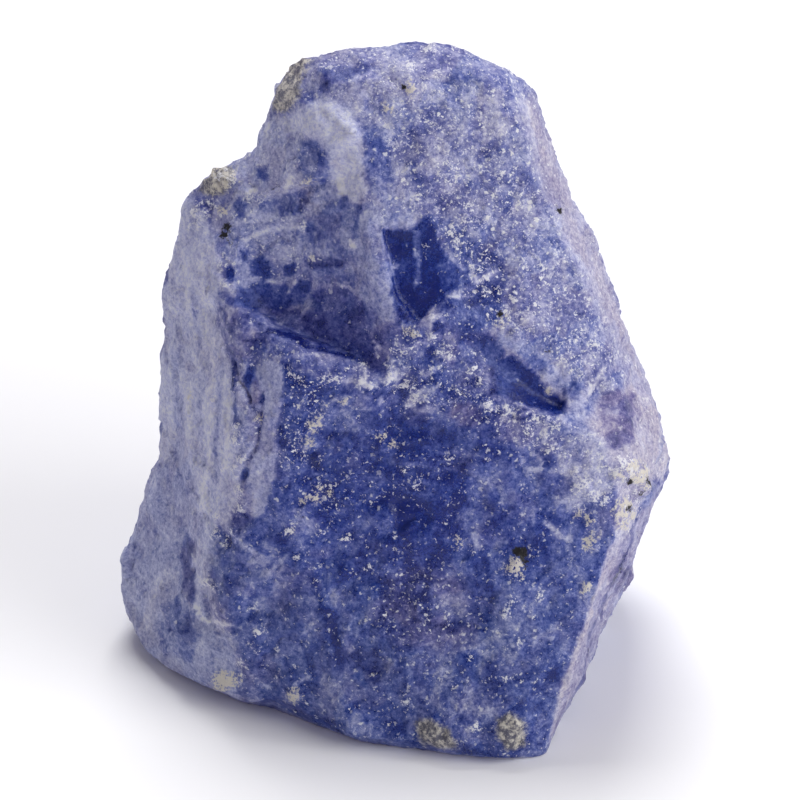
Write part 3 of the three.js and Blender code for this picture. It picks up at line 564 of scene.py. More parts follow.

# %% [markdown]
# ## Window and notch
# To the right of the rib a clean break is open like a window on the body, and it is the
# deepest blue of the stone. A wedge notch lower on the right is nearly as dark: its floor
# shows the blue body, and painted shade darkens it where its inner wall is in shadow. Its
# lip is pale with painted light, where the ledge over it is lit. The window and the notch
# have hard borders, because they end where the frost begins.

# %% Zones of the window and the notch
ZONES |= {
    "navy in the speckle": (
        [(0.9, 4.45), (1.25, 4.55), (1.65, 4.1), (2.1, 3.75), (2.5, 3.45), (2.65, 2.95),
         (2.5, 2.4), (2.35, 1.9), (1.95, 2.1), (1.75, 2.5), (1.55, 2.85), (1.4, 3.45), (1.1, 3.85)],
        dict(haze_and_shading=0.2, flecks=1.0, plum=0.1, border=0.12)),
    "window": (
        [(-0.47, 4.28), (0.05, 4.22), (0.3, 4.28), (0.5, 4.45), (0.75, 4.62), (0.95, 4.35),
         (0.95, 4), (1.05, 3.65), (1.23, 3.45), (1.45, 3.35), (1.52, 3.08), (1.45, 2.8),
         (1.2, 2.73), (1.1, 2.5), (0.82, 2.35), (0.62, 2.15), (0.47, 1.9), (0.28, 2.1),
         (0.07, 2.55), (-0.03, 3.05), (-0.15, 3.45), (-0.3, 3.8), (-0.42, 4.05)],
        dict(haze_and_shading=-0.2, flecks=0.05, plum=0, border=0.04)),
    "darkest of the window": (
        [(-0.1, 3.2), (0.2, 3.3), (0.35, 3.05), (0.5, 2.75), (0.5, 2.2), (0.35, 1.85),
         (0.1, 2.05), (-0.07, 2.45), (-0.15, 2.8)],
        dict(haze_and_shading=-0.3, flecks=0.05, plum=0.0, border=0.06)),
    "cap of the window": (
        [(-0.53, 4.3), (-0.4, 4.6), (0, 4.65), (0.35, 4.6), (0.35, 4.35), (0.05, 4.25),
         (-0.2, 4.28)],
        dict(haze_and_shading=0.52, flecks=0.15, plum=0.0, border=0.04)),
    "blue of the window": (
        [(0.95, 3.35), (1.25, 3.4), (1.35, 3.05), (1.2, 2.75), (0.95, 2.8)],
        dict(haze_and_shading=0.16, flecks=0.15, plum=0.0, border=0.08)),
    "blue under the window": (
        [(0.9, 2.3), (1.3, 2.45), (1.75, 2.4), (2, 2.1), (1.55, 2.05), (1.15, 2.05)],
        dict(haze_and_shading=0.34, flecks=0.3, plum=0, border=0.08)),
    "slate by the notch": (
        [(1.4, 2.15), (1.75, 2.2), (1.93, 1.95), (1.85, 1.65), (1.45, 1.6)],
        dict(haze_and_shading=0.1, flecks=0.1, plum=0.15, border=0.06)),
    "notch, upper": (
        [(1.43, 1.57), (1.75, 1.68), (2.15, 1.6), (2.45, 1.43), (2.6, 1.2), (2.5, 1.02),
         (2.25, 0.97), (1.95, 1.07), (1.6, 1.12), (1.43, 1.32)],
        dict(haze_and_shading=-0.02, flecks=0, plum=0.05, border=0.04)),
    # This zone and the next are partly the blue body and partly painted shade of the notch's inner
    # wall.
    "wedge notch in painted shade": (
        [(1.95, 1.02), (2.3, 0.95), (2.75, 1.1), (3.05, 0.9), (3.4, 0.6), (3.65, 0.3),
         (3.92, 0.05), (4.15, -0.07), (4.17, -0.42), (3.8, -0.4), (3.5, -0.28), (3.05, -0.07),
         (2.7, 0.05), (2.4, 0.15), (2.27, 0.4), (2.17, 0.72)],
        dict(haze_and_shading=-0.14, flecks=0.08, plum=0.05, border=0.04)),
    "painted shade deep in the notch": (
        [(2.7, 0.4), (3.1, 0.75), (3.4, 0.55), (3.65, 0.2), (3.95, 0), (4.1, -0.3), (3.8, -0.33),
         (3.45, -0.17), (3, 0.05), (2.7, 0.15)],
        dict(haze_and_shading=-0.3, flecks=0.05, plum=0, border=0.06)),
    "purple of the notch": (
        [(2.15, 0.9), (2.35, 0.85), (2.4, 0.5), (2.35, 0.1), (2.23, 0.15), (2.2, 0.55)],
        dict(haze_and_shading=0.2, flecks=0.1, plum=0.6, border=0.04)),
    # Painted light: the lip over the notch is pale where the ledge catches the light.
    "notch's lip in painted light": (
        [(2.35, 1.73), (2.8, 1.55), (3.2, 1.27), (3.62, 0.97), (3.92, 0.7), (4.08, 0.4),
         (3.8, 0.3), (3.6, 0.5), (3.25, 0.85), (2.85, 1.18), (2.45, 1.4)],
        dict(haze_and_shading=0.56, flecks=0.12, plum=0.0, border=0.05)),
    "blue past the notch": (
        [(4.05, 0.42), (4.3, 0.47), (4.47, 0.3), (4.4, 0.05), (4.15, 0), (4, 0.2)],
        dict(haze_and_shading=0.36, flecks=0.15, plum=0.0, border=0.05)),
    "chink, middle": (
        [(0.8, 1.98), (1, 2.02), (1.15, 1.85), (1.07, 1.65), (0.82, 1.7)],
        dict(haze_and_shading=-0.15, flecks=0.05, plum=0.1, border=0.04)),
    "chink, low": (
        [(0.6, 1.2), (0.72, 1.35), (0.88, 1.3), (0.8, 1.05), (0.72, 0.78), (0.57, 0.85)],
        dict(haze_and_shading=-0.02, flecks=0.1, plum=0.0, border=0.04)),
    "chink, lower": (
        [(-0.03, 0.23), (0.15, 0.3), (0.33, 0.15), (0.28, -0.05), (0.05, 0)],
        dict(haze_and_shading=-0.05, flecks=0.2, plum=0.0, border=0.04)),
    "chink, lowest": (
        [(-0.23, -0.28), (-0.07, -0.2), (0, -0.45), (-0.17, -0.55)],
        dict(haze_and_shading=-0.05, flecks=0.2, plum=0.0, border=0.04)),
}
print("zones so far:", len(ZONES))

# %% [markdown]
# ## Patches, nicks and speckle
# Small patches go on last: nicks in the edges that look into the dark body, mauve and
# slate spots where the colour turns, and places where the white speckle is at its
# densest.

# %% Zones of small patches
ZONES |= {
    "brown of the rim": (
        [(1.3, -0.1), (1.7, -0.05), (2.05, -0.25), (2, -0.6), (1.55, -0.65), (1.25, -0.4)],
        dict(haze_and_shading=0.36, flecks=0.5, plum=0.8, border=0.08)),
    "lavender by the notch": (
        [(1.4, 0.95), (1.8, 1.05), (2.1, 0.8), (2.2, 0.3), (1.85, 0.15), (1.45, 0.4)],
        dict(haze_and_shading=0.52, flecks=0.8, plum=0.2, border=0.1)),
    "navy under the rim": (
        [(-0.25, -0.65), (0.05, -0.5), (0.75, -0.6), (1.45, -0.75), (2.15, -0.9), (2.9, -0.75),
         (2.9, -1.15), (2.3, -1.3), (1.5, -1.3), (0.75, -1.4), (0.05, -1.3), (-0.3, -1)],
        dict(haze_and_shading=0.06, flecks=0.3, plum=0.0, border=0.14)),
    "blue slit": (
        [(-3.73, 0.95), (-3.58, 0.85), (-3.62, 0.55), (-3.73, 0.25), (-3.83, 0.55)],
        dict(haze_and_shading=0.0, flecks=0.1, plum=0.0, border=0.04)),
    "navy under the patch": (
        [(-1.65, -2.15), (-1.45, -2.05), (-1.25, -2.15), (-1.25, -2.45), (-1.5, -2.58),
         (-1.65, -2.42)],
        dict(haze_and_shading=-0.1, flecks=0.3, plum=0.0, border=0.08)),
    "small navy spot": (
        [(-0.4, -2.45), (-0.17, -2.38), (0.03, -2.5), (-0.03, -2.8), (-0.3, -2.88)],
        dict(haze_and_shading=-0.12, flecks=0.2, plum=0.0, border=0.06)),
    "dark under the rim": (
        [(2.15, -0.75), (2.5, -0.68), (2.88, -0.82), (2.85, -1.12), (2.5, -1.23), (2.15, -1.07)],
        dict(haze_and_shading=0.0, flecks=0.4, plum=0.1, border=0.1)),
    "mauve by the cheek": (
        [(5, 0.1), (5.4, 0.3), (5.85, 0.05), (5.95, -0.5), (5.75, -1.1), (5.3, -1.2), (5, -0.75)],
        dict(haze_and_shading=0.48, flecks=0.2, plum=1.0, border=0.1)),
    "blue violet in the lobe": (
        [(-6, -5.15), (-5.5, -5), (-5.08, -5.3), (-5.05, -5.9), (-5.25, -6.55), (-5.75, -6.5),
         (-6.1, -5.9)],
        dict(haze_and_shading=0.5, flecks=0.08, plum=0.0, border=0.15)),
    # The darker grey violet side of the lobe is partly the plum cast and partly painted shade.
    "painted shade on the lobe's side": (
        [(-5.35, -3.4), (-5.08, -3.62), (-5.2, -4.2), (-5.1, -4.8), (-5.25, -5.2), (-5.5, -5),
         (-5.5, -4.15)],
        dict(haze_and_shading=0.42, flecks=0.06, plum=0.5, border=0.1)),
    "deep blue low left": (
        [(-1.55, -3.7), (-1, -3.52), (-0.5, -3.8), (-0.6, -4.75), (-0.9, -5.55), (-1.35, -5.4),
         (-1.55, -4.5)],
        dict(haze_and_shading=0.1, flecks=0.3, plum=0.0, border=0.2)),
    "dark nick, low right": (
        [(3.62, -6.78), (3.85, -6.67), (4.03, -6.85), (3.9, -7.08), (3.65, -7)],
        dict(haze_and_shading=-0.15, flecks=0.1, plum=0.0, border=0.05)),
    "dark nick, foot": (
        [(2.83, -7.55), (3.25, -7.45), (3.67, -7.55), (3.62, -7.8), (3.2, -7.88), (2.9, -7.78)],
        dict(haze_and_shading=-0.12, flecks=0.1, plum=0.0, border=0.05)),
    "slate under the cheek": (
        [(3.42, -1.85), (3.85, -1.75), (4.3, -1.9), (4.25, -2.35), (3.8, -2.48), (3.45, -2.35)],
        dict(haze_and_shading=0.42, flecks=0.25, plum=0.2, border=0.08)),
    "pale blob at the foot": (
        [(-2.85, -7.38), (-2.6, -7.3), (-2.35, -7.42), (-2.55, -7.58), (-2.8, -7.55)],
        dict(haze_and_shading=0.62, flecks=0.2, plum=0.0, border=0.05)),
    "sparkling left": (
        [(-2.8, 0.85), (-2.4, 0.65), (-1.9, 0.45), (-1.95, -0.1), (-2.15, -0.75), (-2.2, -1.4),
         (-2.5, -1.8), (-2.95, -1.65), (-3, -1), (-2.98, -0.3), (-2.8, 0.05)],
        dict(haze_and_shading=0.1, flecks=0.9, plum=0.0, border=0.08)),
    "mauve by the crack": (
        [(-3.7, 0.5), (-3.48, 0.55), (-3.4, 0.25), (-3.45, -0.1), (-3.6, 0)],
        dict(haze_and_shading=0.5, flecks=0.1, plum=0.7, border=0.05)),
    "dark wedge": (
        [(-3.4, 0.25), (-3.33, 0.1), (-3.38, -0.1), (-3.48, -0.05)],
        dict(haze_and_shading=-0.1, flecks=0.0, plum=0.0, border=0.03)),
    "blue spot in the crack": (
        [(-3.88, -1.7), (-3.75, -1.73), (-3.77, -1.98), (-3.88, -2)],
        dict(haze_and_shading=-0.05, flecks=0.05, plum=0.0, border=0.03)),
    "dark foot of the band": (
        [(-4, -2.83), (-3.6, -2.85), (-3.35, -3), (-3.45, -3.15), (-3.85, -3.05)],
        dict(haze_and_shading=0.16, flecks=0.2, plum=0.2, border=0.06)),
    "navy beside the patch": (
        [(-0.95, -2.15), (-0.6, -1.75), (-0.2, -1.7), (-0.1, -2.15), (-0.4, -2.5), (-0.85, -2.55)],
        dict(haze_and_shading=0.02, flecks=0.5, plum=0, border=0.1)),
    "navy lines, left": (
        [(-2.2, -2.7), (-1.5, -2.8), (-0.75, -2.85), (-0.05, -3), (-0.5, -3.25), (-1.4, -3.1),
         (-2.15, -2.95)],
        dict(haze_and_shading=0.06, flecks=0.5, plum=0, border=0.1)),
    "mauve dust": (
        [(-0.55, -4.5), (0.5, -4), (1.5, -4.5), (2, -5.5), (1.3, -6.25), (0, -6.15), (-0.7, -5.5)],
        dict(haze_and_shading=0.32, flecks=0.5, plum=0.55, border=0.25)),
    "lighter belly": (
        [(1.7, -1.7), (2.5, -1.55), (3.25, -1.75), (3.3, -2.3), (2.5, -2.6), (1.85, -2.4)],
        dict(haze_and_shading=0.42, flecks=0.3, plum=0.0, border=0.2)),
    "pale by the streak": (
        [(2, -3.3), (2.3, -3.2), (2.55, -3.4), (2.45, -3.7), (2.05, -3.7)],
        dict(haze_and_shading=0.44, flecks=0.3, plum=0.2, border=0.08)),
    "grey under the ring": (
        [(3.3, -1.85), (3.7, -1.75), (4.1, -1.85), (4.3, -2.15), (4, -2.4), (3.6, -2.25),
         (3.35, -2.15)],
        dict(haze_and_shading=0.38, flecks=0.15, plum=0.3, border=0.06)),
    "blue under the grey": (
        [(3.4, -2.35), (3.9, -2.45), (4.25, -2.7), (4.15, -3.1), (3.7, -2.95), (3.4, -2.7)],
        dict(haze_and_shading=0.46, flecks=0.2, plum=0.0, border=0.1)),
    "frost disc": (
        [(3.9, -1), (4.15, -0.82), (4.45, -0.85), (4.6, -1.15), (4.55, -1.5), (4.35, -1.7),
         (4.05, -1.65), (3.88, -1.35)],
        dict(haze_and_shading=0.7, flecks=1.0, plum=0.1, border=0.05)),
    "inside the ring": (
        [(3.17, -1.3), (3.33, -1.23), (3.48, -1.35), (3.48, -1.55), (3.33, -1.65), (3.17, -1.55)],
        dict(haze_and_shading=0.24, flecks=0.2, plum=0.1, border=0.04)),
    "speckled cheek": (
        [(5.3, -1.55), (5.7, -1.45), (6.15, -1.65), (6.2, -2.05), (5.95, -2.6), (5.7, -3.25),
         (5.45, -3.5), (5.35, -2.9), (5.45, -2.4), (5.25, -2)],
        dict(haze_and_shading=0.84, flecks=1.0, plum=0.6, border=0.08)),
    "pale speckle at the top": (
        [(-0.55, 8.45), (0, 8.6), (0.4, 8.25), (0.3, 7.6), (0, 7.2), (-0.4, 7.3), (-0.6, 7.85)],
        dict(haze_and_shading=0.82, flecks=1.0, plum=0.2, border=0.1)),
    "dark speckle": (
        [(0.95, 5.35), (1.55, 5.45), (2.25, 5.2), (2.4, 4.7), (1.75, 4.5), (1.1, 4.65)],
        dict(haze_and_shading=0.46, flecks=1.0, plum=0.4, border=0.15)),
    "dusk under the window": (
        [(1.3, 2.7), (1.95, 2.5), (2.25, 1.95), (1.9, 1.5), (1.25, 1.75), (1, 2.35)],
        dict(haze_and_shading=0.2, flecks=0.4, plum=0.15, border=0.12)),
    "pale corner": (
        [(-4.25, 2.4), (-3.85, 2.3), (-3.7, 1.75), (-3.8, 1.1), (-4.1, 0.95), (-4.3, 1.6)],
        dict(haze_and_shading=0.62, flecks=0.2, plum=0.3, border=0.08)),
    "speckle under the notch": (
        [(2.4, -0.4), (3, -0.5), (3.7, -0.6), (4.05, -0.9), (3.75, -1.3), (3, -1.2), (2.45, -0.9)],
        dict(haze_and_shading=0.56, flecks=1.0, plum=0.3, border=0.12)),
    "pale between the crumbs": (
        [(1.55, -7.25), (2.05, -7.15), (2.3, -7.65), (2.2, -8.5), (1.75, -8.6), (1.6, -7.9)],
        dict(haze_and_shading=0.5, flecks=0.3, plum=0.1, border=0.1)),
    "dusty valley": (
        [(1.2, 1.38), (1.75, 1.45), (2.05, 1.2), (2.15, 0.7), (1.95, 0.3), (1.45, 0.4),
         (1.1, 0.85)],
        dict(haze_and_shading=0.28, flecks=0.7, plum=0.4, border=0.1)),
    "knob": (
        [(5.2, -4.2), (5.8, -4.1), (5.92, -4.38), (5.75, -4.75), (5.3, -4.92)],
        dict(haze_and_shading=0.45, flecks=0.1, plum=1, border=0.06)),
}
print("zones in all:", len(ZONES))

# %% [markdown]
# ## Base coats and painting
# The sides that the picture doesn't show keep the base coats: broad noise, a tone for
# each large face, and some extra haze on the ridges, which bruise first. A point stands
# on a ridge if it lies further out than the mean of the squares round it. Then the zones
# are painted over the side that the camera sees.

# %% Base coats and painting
BASE_COATS = {
    "haze_and_shading": dict(mean=0.58, spread=0.14, size=2.4, seed=21),
    "flecks": dict(mean=0.4, spread=0.3, size=1.8, seed=22),
    "plum": dict(mean=0.3, spread=0.25, size=2.0, seed=23),
}
FACE_TONE, FACE_SIZE = 0.14, 5.0
RIDGE_HAZE, RIDGE_RISE = 0.3, (0.001, 0.008)


def mean_of_squares(values):
    """For each point, the mean over the squares round it, where the value of a square is
    the mean of its four corners."""
    corners = faces.ravel()
    middles = np.repeat(values[faces].mean(1), 4, axis=0)
    return gathered(corners, middles, len(values)) / np.bincount(corners)[:, None]


standing = (smooth - mean_of_squares(smooth)) * point_normals(smooth, faces)
ridge = mean_of_squares(smoothstep(RIDGE_RISE, standing.sum(1, keepdims=True)))[:, 0]
coats = {name: coat["mean"] + coat["spread"] * layered_noise(smooth, coat["size"], coat["seed"])
         for name, coat in BASE_COATS.items()}
coats["haze_and_shading"] += FACE_TONE * chips(smooth, FACE_SIZE, 91)[1] + RIDGE_HAZE * ridge
for outline, coat in ZONES.values():
    cover = smoothstep((-coat["border"], coat["border"]), inside(outline)) * front
    for name in coats:
        coats[name] += cover * (coat[name] - coats[name])
print("mean haze:", coats["haze_and_shading"].mean().round(2))

# %% [markdown]
# ## Pale and dark strokes
# Thin pale lines run where the skin is bruised, and dark ones where a crack or a step
# lets the eye into the body. The dark stroke along the ridge over the ledge is painted
# shade instead. Each is a stroke: how much it changes the haze, its width and its line,
# in millimetres on the picture.

# %% Strokes
STROKES = [
    (0.3, 0.07, [(-3.85, 3.98), (-3.35, 4.22), (-2.85, 4.33), (-2.48, 4.28)]),
    (0.3, 0.07, [(-3.67, 3.02), (-3.35, 3), (-3.1, 2.9)]),
    (0.4, 0.09, [(-3.8, 5.08), (-3.65, 5.17)]),
    (0.35, 0.09, [(-2.85, 5.17), (-2.67, 5.55)]),
    (0.3, 0.1, [(-3.35, 6.6), (-3.25, 6.8)]),
    (0.35, 0.12, [(-1.57, 5.45), (-1.45, 5.1)]),
    (0.35, 0.08, [(-1.2, 3.98), (-1.07, 3.83)]),
    (0.35, 0.07, [(-4.35, 3), (-4.25, 2.77)]),
    (0.3, 0.07, [(-2.9, 2.35), (-2.7, 2.75), (-2.6, 2.95)]),
    (0.25, 0.07, [(-2.35, 2.5), (-2.1, 2.9)]),
    (0.55, 0.12, [(0.4, 4.17), (0.45, 3.5), (0.4, 2.85)]),
    (0.25, 0.06, [(0.62, 2.92), (0.8, 2.75), (0.97, 2.52)]),
    (0.3, 0.06, [(1.1, 2.65), (1.5, 2.58)]),
    (0.09, 0.2, [(2.85, 7.88), (2.95, 7.65), (3.15, 6.78), (3.42, 5.65), (3.65, 4.97), (3.98, 4.3),
     (4.4, 3.42), (4.85, 2.3)]),
    (0.15, 0.09, [(-3.12, 1.02), (-2.73, 1.05), (-2.05, 1.07), (-1.88, 0.85), (-1.7, 0.55),
     (-1.32, 0.53), (-0.8, 0.35)]),
    (0.12, 0.14, [(-3.48, -1.75), (-3.55, -2.3), (-3.65, -2.85)]),
    (0.11, 0.16, [(-5.3, 0.3), (-5.28, -1.07), (-5.3, -1.3), (-5.12, -1.75), (-4.9, -2.4),
     (-4.83, -2.85), (-4.83, -3.3), (-4.9, -3.98), (-5, -4.5)]),
    (0.3, 0.06, [(-1.88, -0.07), (-1.6, 0.07), (-1.32, 0.1)]),
    (0.35, 0.1, [(-1.95, -0.35), (-2.2, -0.8), (-2.33, -1.2)]),
    (0.35, 0.08, [(-2.17, -1.77), (-1.95, -1.85), (-1.65, -2)]),
    (0.3, 0.07, [(2.6, 0.6), (2.7, 0.72), (2.85, 0.72), (2.95, 0.6), (2.83, 0.5), (2.65, 0.5)]),
    (0.45, 0.07, [(3.58, 0.23), (3.65, 0.35), (3.8, 0.3), (3.77, 0.12), (3.62, 0.1)]),
    (0.4, 0.08, [(3.62, -0.78), (3.62, -0.97)]),
    (0.3, 0.08, [(5.1, 0.82), (4.9, 0.45), (4.67, 0.1)]),
    (0.35, 0.08, [(1.9, -3.33), (1.95, -3.5), (2, -3.67)]),
    (0.2, 0.1, [(3.6, -3.05), (4, -3.45), (4.33, -3.85)]),
    (0.35, 0.06, [(2.55, -3.48), (2.7, -3.62)]),
    (0.35, 0.07, [(3.23, -1.25), (3.42, -1.3), (3.55, -1.48), (3.5, -1.65), (3.3, -1.73),
     (3.15, -1.65)]),
    (0.12, 0.2, [(-5.8, -4.3), (-6.1, -4.7), (-6.25, -5), (-6.38, -5.3), (-6.42, -5.67)]),
    (0.13, 0.12, [(-4.95, -3.58), (-5.08, -3.9), (-5.12, -4.15), (-5.08, -4.75), (-5.03, -5.22)]),
    (0.35, 0.06, [(-4.95, -4.47), (-4.8, -4.65), (-4.6, -4.75)]),
    (0.4, 0.07, [(-5.12, -5.15), (-4.85, -5.5), (-4.5, -5.55), (-3.98, -5.67)]),
    (0.35, 0.08, [(-3.7, -6.95), (-3.48, -7.08), (-3.25, -7.17)]),
    (0.35, 0.08, [(-2.62, -7.15), (-2.45, -7.03), (-2.27, -6.85)]),
    (0.3, 0.07, [(-4.35, -3.27), (-3.95, -3.5), (-3.52, -3.77)]),
    (0.2, 0.1, [(-2.8, -3.85), (-3.35, -4.4), (-3.88, -4.92)]),
    (0.18, 0.12, [(-1.88, -4.25), (-1.65, -4.9), (-1.5, -5.5), (-1.25, -6.22)]),
    (0.14, 0.12, [(5.67, -3), (5.28, -3.95), (5.05, -4.58), (4.67, -5.67), (4.38, -6.45),
     (3.95, -7.78), (3.7, -8.65)]),
    # This dark stroke is painted shade along the ridge over the ledge.
    (-0.3, 0.08, [(-3.77, 2.1), (-3.25, 1.7), (-2.33, 1.32), (-1.2, 1.02), (-0.4, 0.57)]),
    (-0.35, 0.06, [(-4.2, 1.02), (-4.1, 0.5), (-4.03, -0.17), (-4.05, -0.53)]),
    (-0.3, 0.06, [(-3.7, 0.1), (-3.55, -0.23), (-3.45, -0.4), (-3.48, -0.62), (-3.52, -1.07),
     (-3.75, -1.48)]),
    (-0.3, 0.05, [(-2.85, 0.9), (-2.83, 0.4), (-2.9, -0.15)]),
    (-0.25, 0.06, [(-0.97, 4.85), (-1.05, 4.4), (-1.1, 4.1), (-1.2, 3.85)]),
    (-0.3, 0.16, [(-2.17, -4.47), (-1.95, -5.1), (-1.73, -5.7), (-1.48, -6.53)]),
    (-0.2, 0.12, [(-3.35, -4.38), (-3.55, -4.65), (-3.7, -4.88)]),
    (-0.3, 0.06, [(5.58, -3.9), (5.15, -5), (4.8, -6.1), (4.45, -7.25), (4.1, -8.35)]),
    (-0.25, 0.08, [(-0.15, 3.2), (-0.17, 2.75), (-0.03, 2.2), (0.03, 1.95)]),
    (-0.2, 0.1, [(-2.5, -6), (-2.2, -6.7), (-2.05, -7.5)]),
    (-0.2, 0.12, [(0.75, -4), (0.6, -4.75), (0.7, -5.6)]),
    (-0.22, 0.12, [(2.15, -4), (2.3, -4.9), (2.1, -5.8)]),
    (0.45, 0.06, [(-0.7, 1.68), (-0.62, 1.5), (-0.53, 1.35), (-0.35, 1.2), (-0.2, 1),
     (-0.15, 0.82)]),
    (0.35, 0.05, [(-0.65, 1.32), (-0.6, 1.18), (-0.55, 1.05)]),
    (0.5, 0.13, [(-0.3, 0.5), (-0.2, 0.62), (-0.07, 0.68)]),
    (0.4, 0.06, [(-0.15, 0.82), (-0.05, 0.62), (-0.1, 0.35)]),
    (0.45, 0.2, [(0.2, -0.1), (0.38, 0.07), (0.6, 0.1)]),
    (0.4, 0.12, [(0.25, -0.2), (0.5, -0.3), (0.78, -0.2)]),
    (0.4, 0.1, [(0.68, 1.43), (0.75, 1.57), (0.85, 1.65)]),
    (0.3, 0.06, [(0.78, 1.85), (0.85, 2.05)]),
    (0.45, 0.12, [(1.02, 1.15), (1.18, 1.07), (1.3, 1.02)]),
    (0.35, 0.07, [(-0.1, 1.45), (0.1, 1.32), (0.35, 1.35), (0.53, 1.5)]),
    (0.35, 0.07, [(0.5, 0.75), (0.65, 0.62), (0.85, 0.7), (1, 0.9)]),
    (0.4, 0.08, [(0.45, 0.2), (0.6, 0.3), (0.8, 0.28), (0.93, 0.4)]),
    (0.35, 0.06, [(0, 1), (0.1, 0.8), (0.05, 0.55)]),
    (0.35, 0.06, [(-0.95, -0.1), (-0.82, -0.25), (-0.62, -0.28)]),
    (0.35, 0.07, [(-0.47, 0.05), (-0.53, -0.25), (-0.42, -0.5), (-0.47, -0.9)]),
    (0.35, 0.1, [(-0.95, 0.5), (-0.8, 0.38), (-0.6, 0.3)]),
    (0.4, 0.09, [(2.02, -0.15), (2.17, -0.07), (2.35, -0.2)]),
    (0.45, 0.12, [(2.58, -0.15), (2.65, -0.3), (2.6, -0.45)]),
    (0.4, 0.1, [(2.8, -0.25), (2.9, -0.4)]),
    (0.35, 0.07, [(3.05, -0.4), (3.2, -0.3), (3.35, -0.4)]),
    (0.35, 0.06, [(3.62, -0.65), (3.73, -0.45)]),
    (0.35, 0.06, [(3.9, -0.62), (4.05, -0.45)]),
    (0.35, 0.07, [(4.58, -0.05), (4.65, 0.2), (4.75, 0.38)]),
    (0.3, 0.07, [(1.15, 2.67), (1.32, 2.6), (1.5, 2.55), (1.75, 2.58)]),
    (0.35, 0.08, [(1.48, 3.33), (1.57, 3.23)]),
    (0.5, 0.12, [(1.75, 3.3), (1.8, 3.1), (1.9, 2.95)]),
    (0.45, 0.1, [(2, 2.95), (2.15, 3.08), (2.35, 3.15)]),
    (0.3, 0.06, [(-2.45, 2.05), (-2.3, 2.27), (-2.15, 2.42)]),
    (0.25, 0.05, [(-2.2, 2.5), (-2.1, 2.88)]),
    (0.25, 0.06, [(-1.62, 2.95), (-1.4, 2.85), (-1.2, 2.75)]),
    (0.35, 0.1, [(-1.15, 4), (-1.12, 3.85)]),
    (-0.25, 0.05, [(-2.4, 3.48), (-2.1, 3.3), (-1.55, 3.33)]),
    (-0.25, 0.05, [(-0.25, 3.55), (-0.15, 3.2), (-0.17, 2.75), (-0.07, 2.4), (0.07, 2)]),
    (-0.3, 0.06, [(2.25, 0.9), (2.33, 0.6), (2.27, 0.2)]),
    (-0.2, 0.1, [(0.05, -1.15), (0.75, -1.4), (1.45, -1.45), (2.15, -1.55)]),
    (-0.2, 0.08, [(-0.1, -1.75), (0.6, -1.85), (1.3, -2.05)]),
    (-0.18, 0.08, [(0.25, -2.2), (0.9, -2.3), (1.6, -2.5)]),
    (0.2, 0.06, [(0, -1.6), (0.7, -1.65), (1.4, -1.8)]),
    (0.18, 0.05, [(0.1, -2), (0.8, -2.1), (1.45, -2.3)]),
    (0.15, 0.08, [(-4.67, 1.5), (-4.7, 0.7)]),
    (0.14, 0.1, [(-4.65, -0.3), (-4.75, -1.25), (-4.88, -2.25), (-4.92, -2.75)]),
    (0.12, 0.12, [(-4.3, 0), (-4.25, -1), (-4.35, -1.75)]),
    (-0.15, 0.1, [(-4.5, 1), (-4.45, 0), (-4.55, -1), (-4.6, -2)]),
    (-0.12, 0.08, [(-5, 0), (-5, -1), (-4.85, -1.75)]),
    (-0.12, 0.12, [(-5.6, 1.75), (-5.6, 0.5), (-5.55, -0.75)]),
    (0.12, 0.1, [(-5.45, 3.75), (-5.3, 2.75), (-5.2, 1.75)]),
    (0.12, 0.09, [(-5, 3.45), (-4.85, 2.5), (-4.85, 1.6)]),
    (-0.15, 0.08, [(-5.15, 2.75), (-5.03, 1.75), (-5.05, 1.1)]),
    (0.3, 0.06, [(-4.1, -3.52), (-3.85, -3.7), (-3.58, -3.83)]),
    (-0.3, 0.07, [(-4.5, -3.12), (-4.45, -3.38), (-4.2, -3.58)]),
    (0.3, 0.1, [(-0.95, 0.8), (-0.85, 0.7), (-0.95, 0.45), (-0.78, 0.3)]),
    (0.3, 0.06, [(2.92, -1.4), (3, -1.3), (3.08, -1.5)]),
    (0.4, 0.1, [(3.62, -3.08), (3.9, -3.35), (4.2, -3.45)]),
    (0.25, 0.12, [(4.15, -3.3), (4.25, -3.5)]),
    (0.1, 0.08, [(5.5, -3), (5.15, -3.9), (4.9, -4.6), (4.65, -5.5)]),
    (-0.25, 0.06, [(6, -2.5), (5.8, -3.1), (5.55, -3.9)]),
]
STROKE_STRENGTH, STROKE_CORE = 1.5, 0.2

for change, width, line in STROKES:
    stroke = smoothstep((width, STROKE_CORE * width), from_line(line))
    coats["haze_and_shading"] += STROKE_STRENGTH * change * stroke * front
print("strokes:", len(STROKES))

# %% [markdown]
# ## Grooves, streaks and chips
# Noise drawn out upright gives the slab on the left its grooves, and noise drawn out
# across gives the front face its streaks. Then the whole skin is split into chips of
# three sizes. A chip that lies at another slant looks lighter or darker, so each gets
# its own painted light and shade in the haze, least of all where the skin is already pale.

# %% Grooves, streaks and chips
PLAIN_HAZE, HIDDEN_SHARE = (0.85, 0.6), 0.55
SLAB_BORDER, GROOVE_STRETCH, GROOVE_SIZE, GROOVE_HAZE = (-0.2, 0.2), [1, 1, 0.08], 0.22, 0.16
FACE_BORDER, STREAK_STRETCH, STREAK_SIZE, STREAK_HAZE = (-0.1, 0.6), [0.18, 1, 1], 0.3, 0.2
STREAK_SLOPE = [0, 0, 0.3]
CHIPS = {
    "large": dict(size=0.95, bend=0.3, seed=51, haze_and_shading=0.13),
    "small": dict(size=0.36, bend=0.12, seed=61, haze_and_shading=0.17),
    "tiny": dict(size=0.2, bend=0.0, seed=71, haze_and_shading=0.13),
}
PLUM_CHIPS = dict(size=0.7, bend=0.18, seed=71)
PLUM_TONE = 0.2

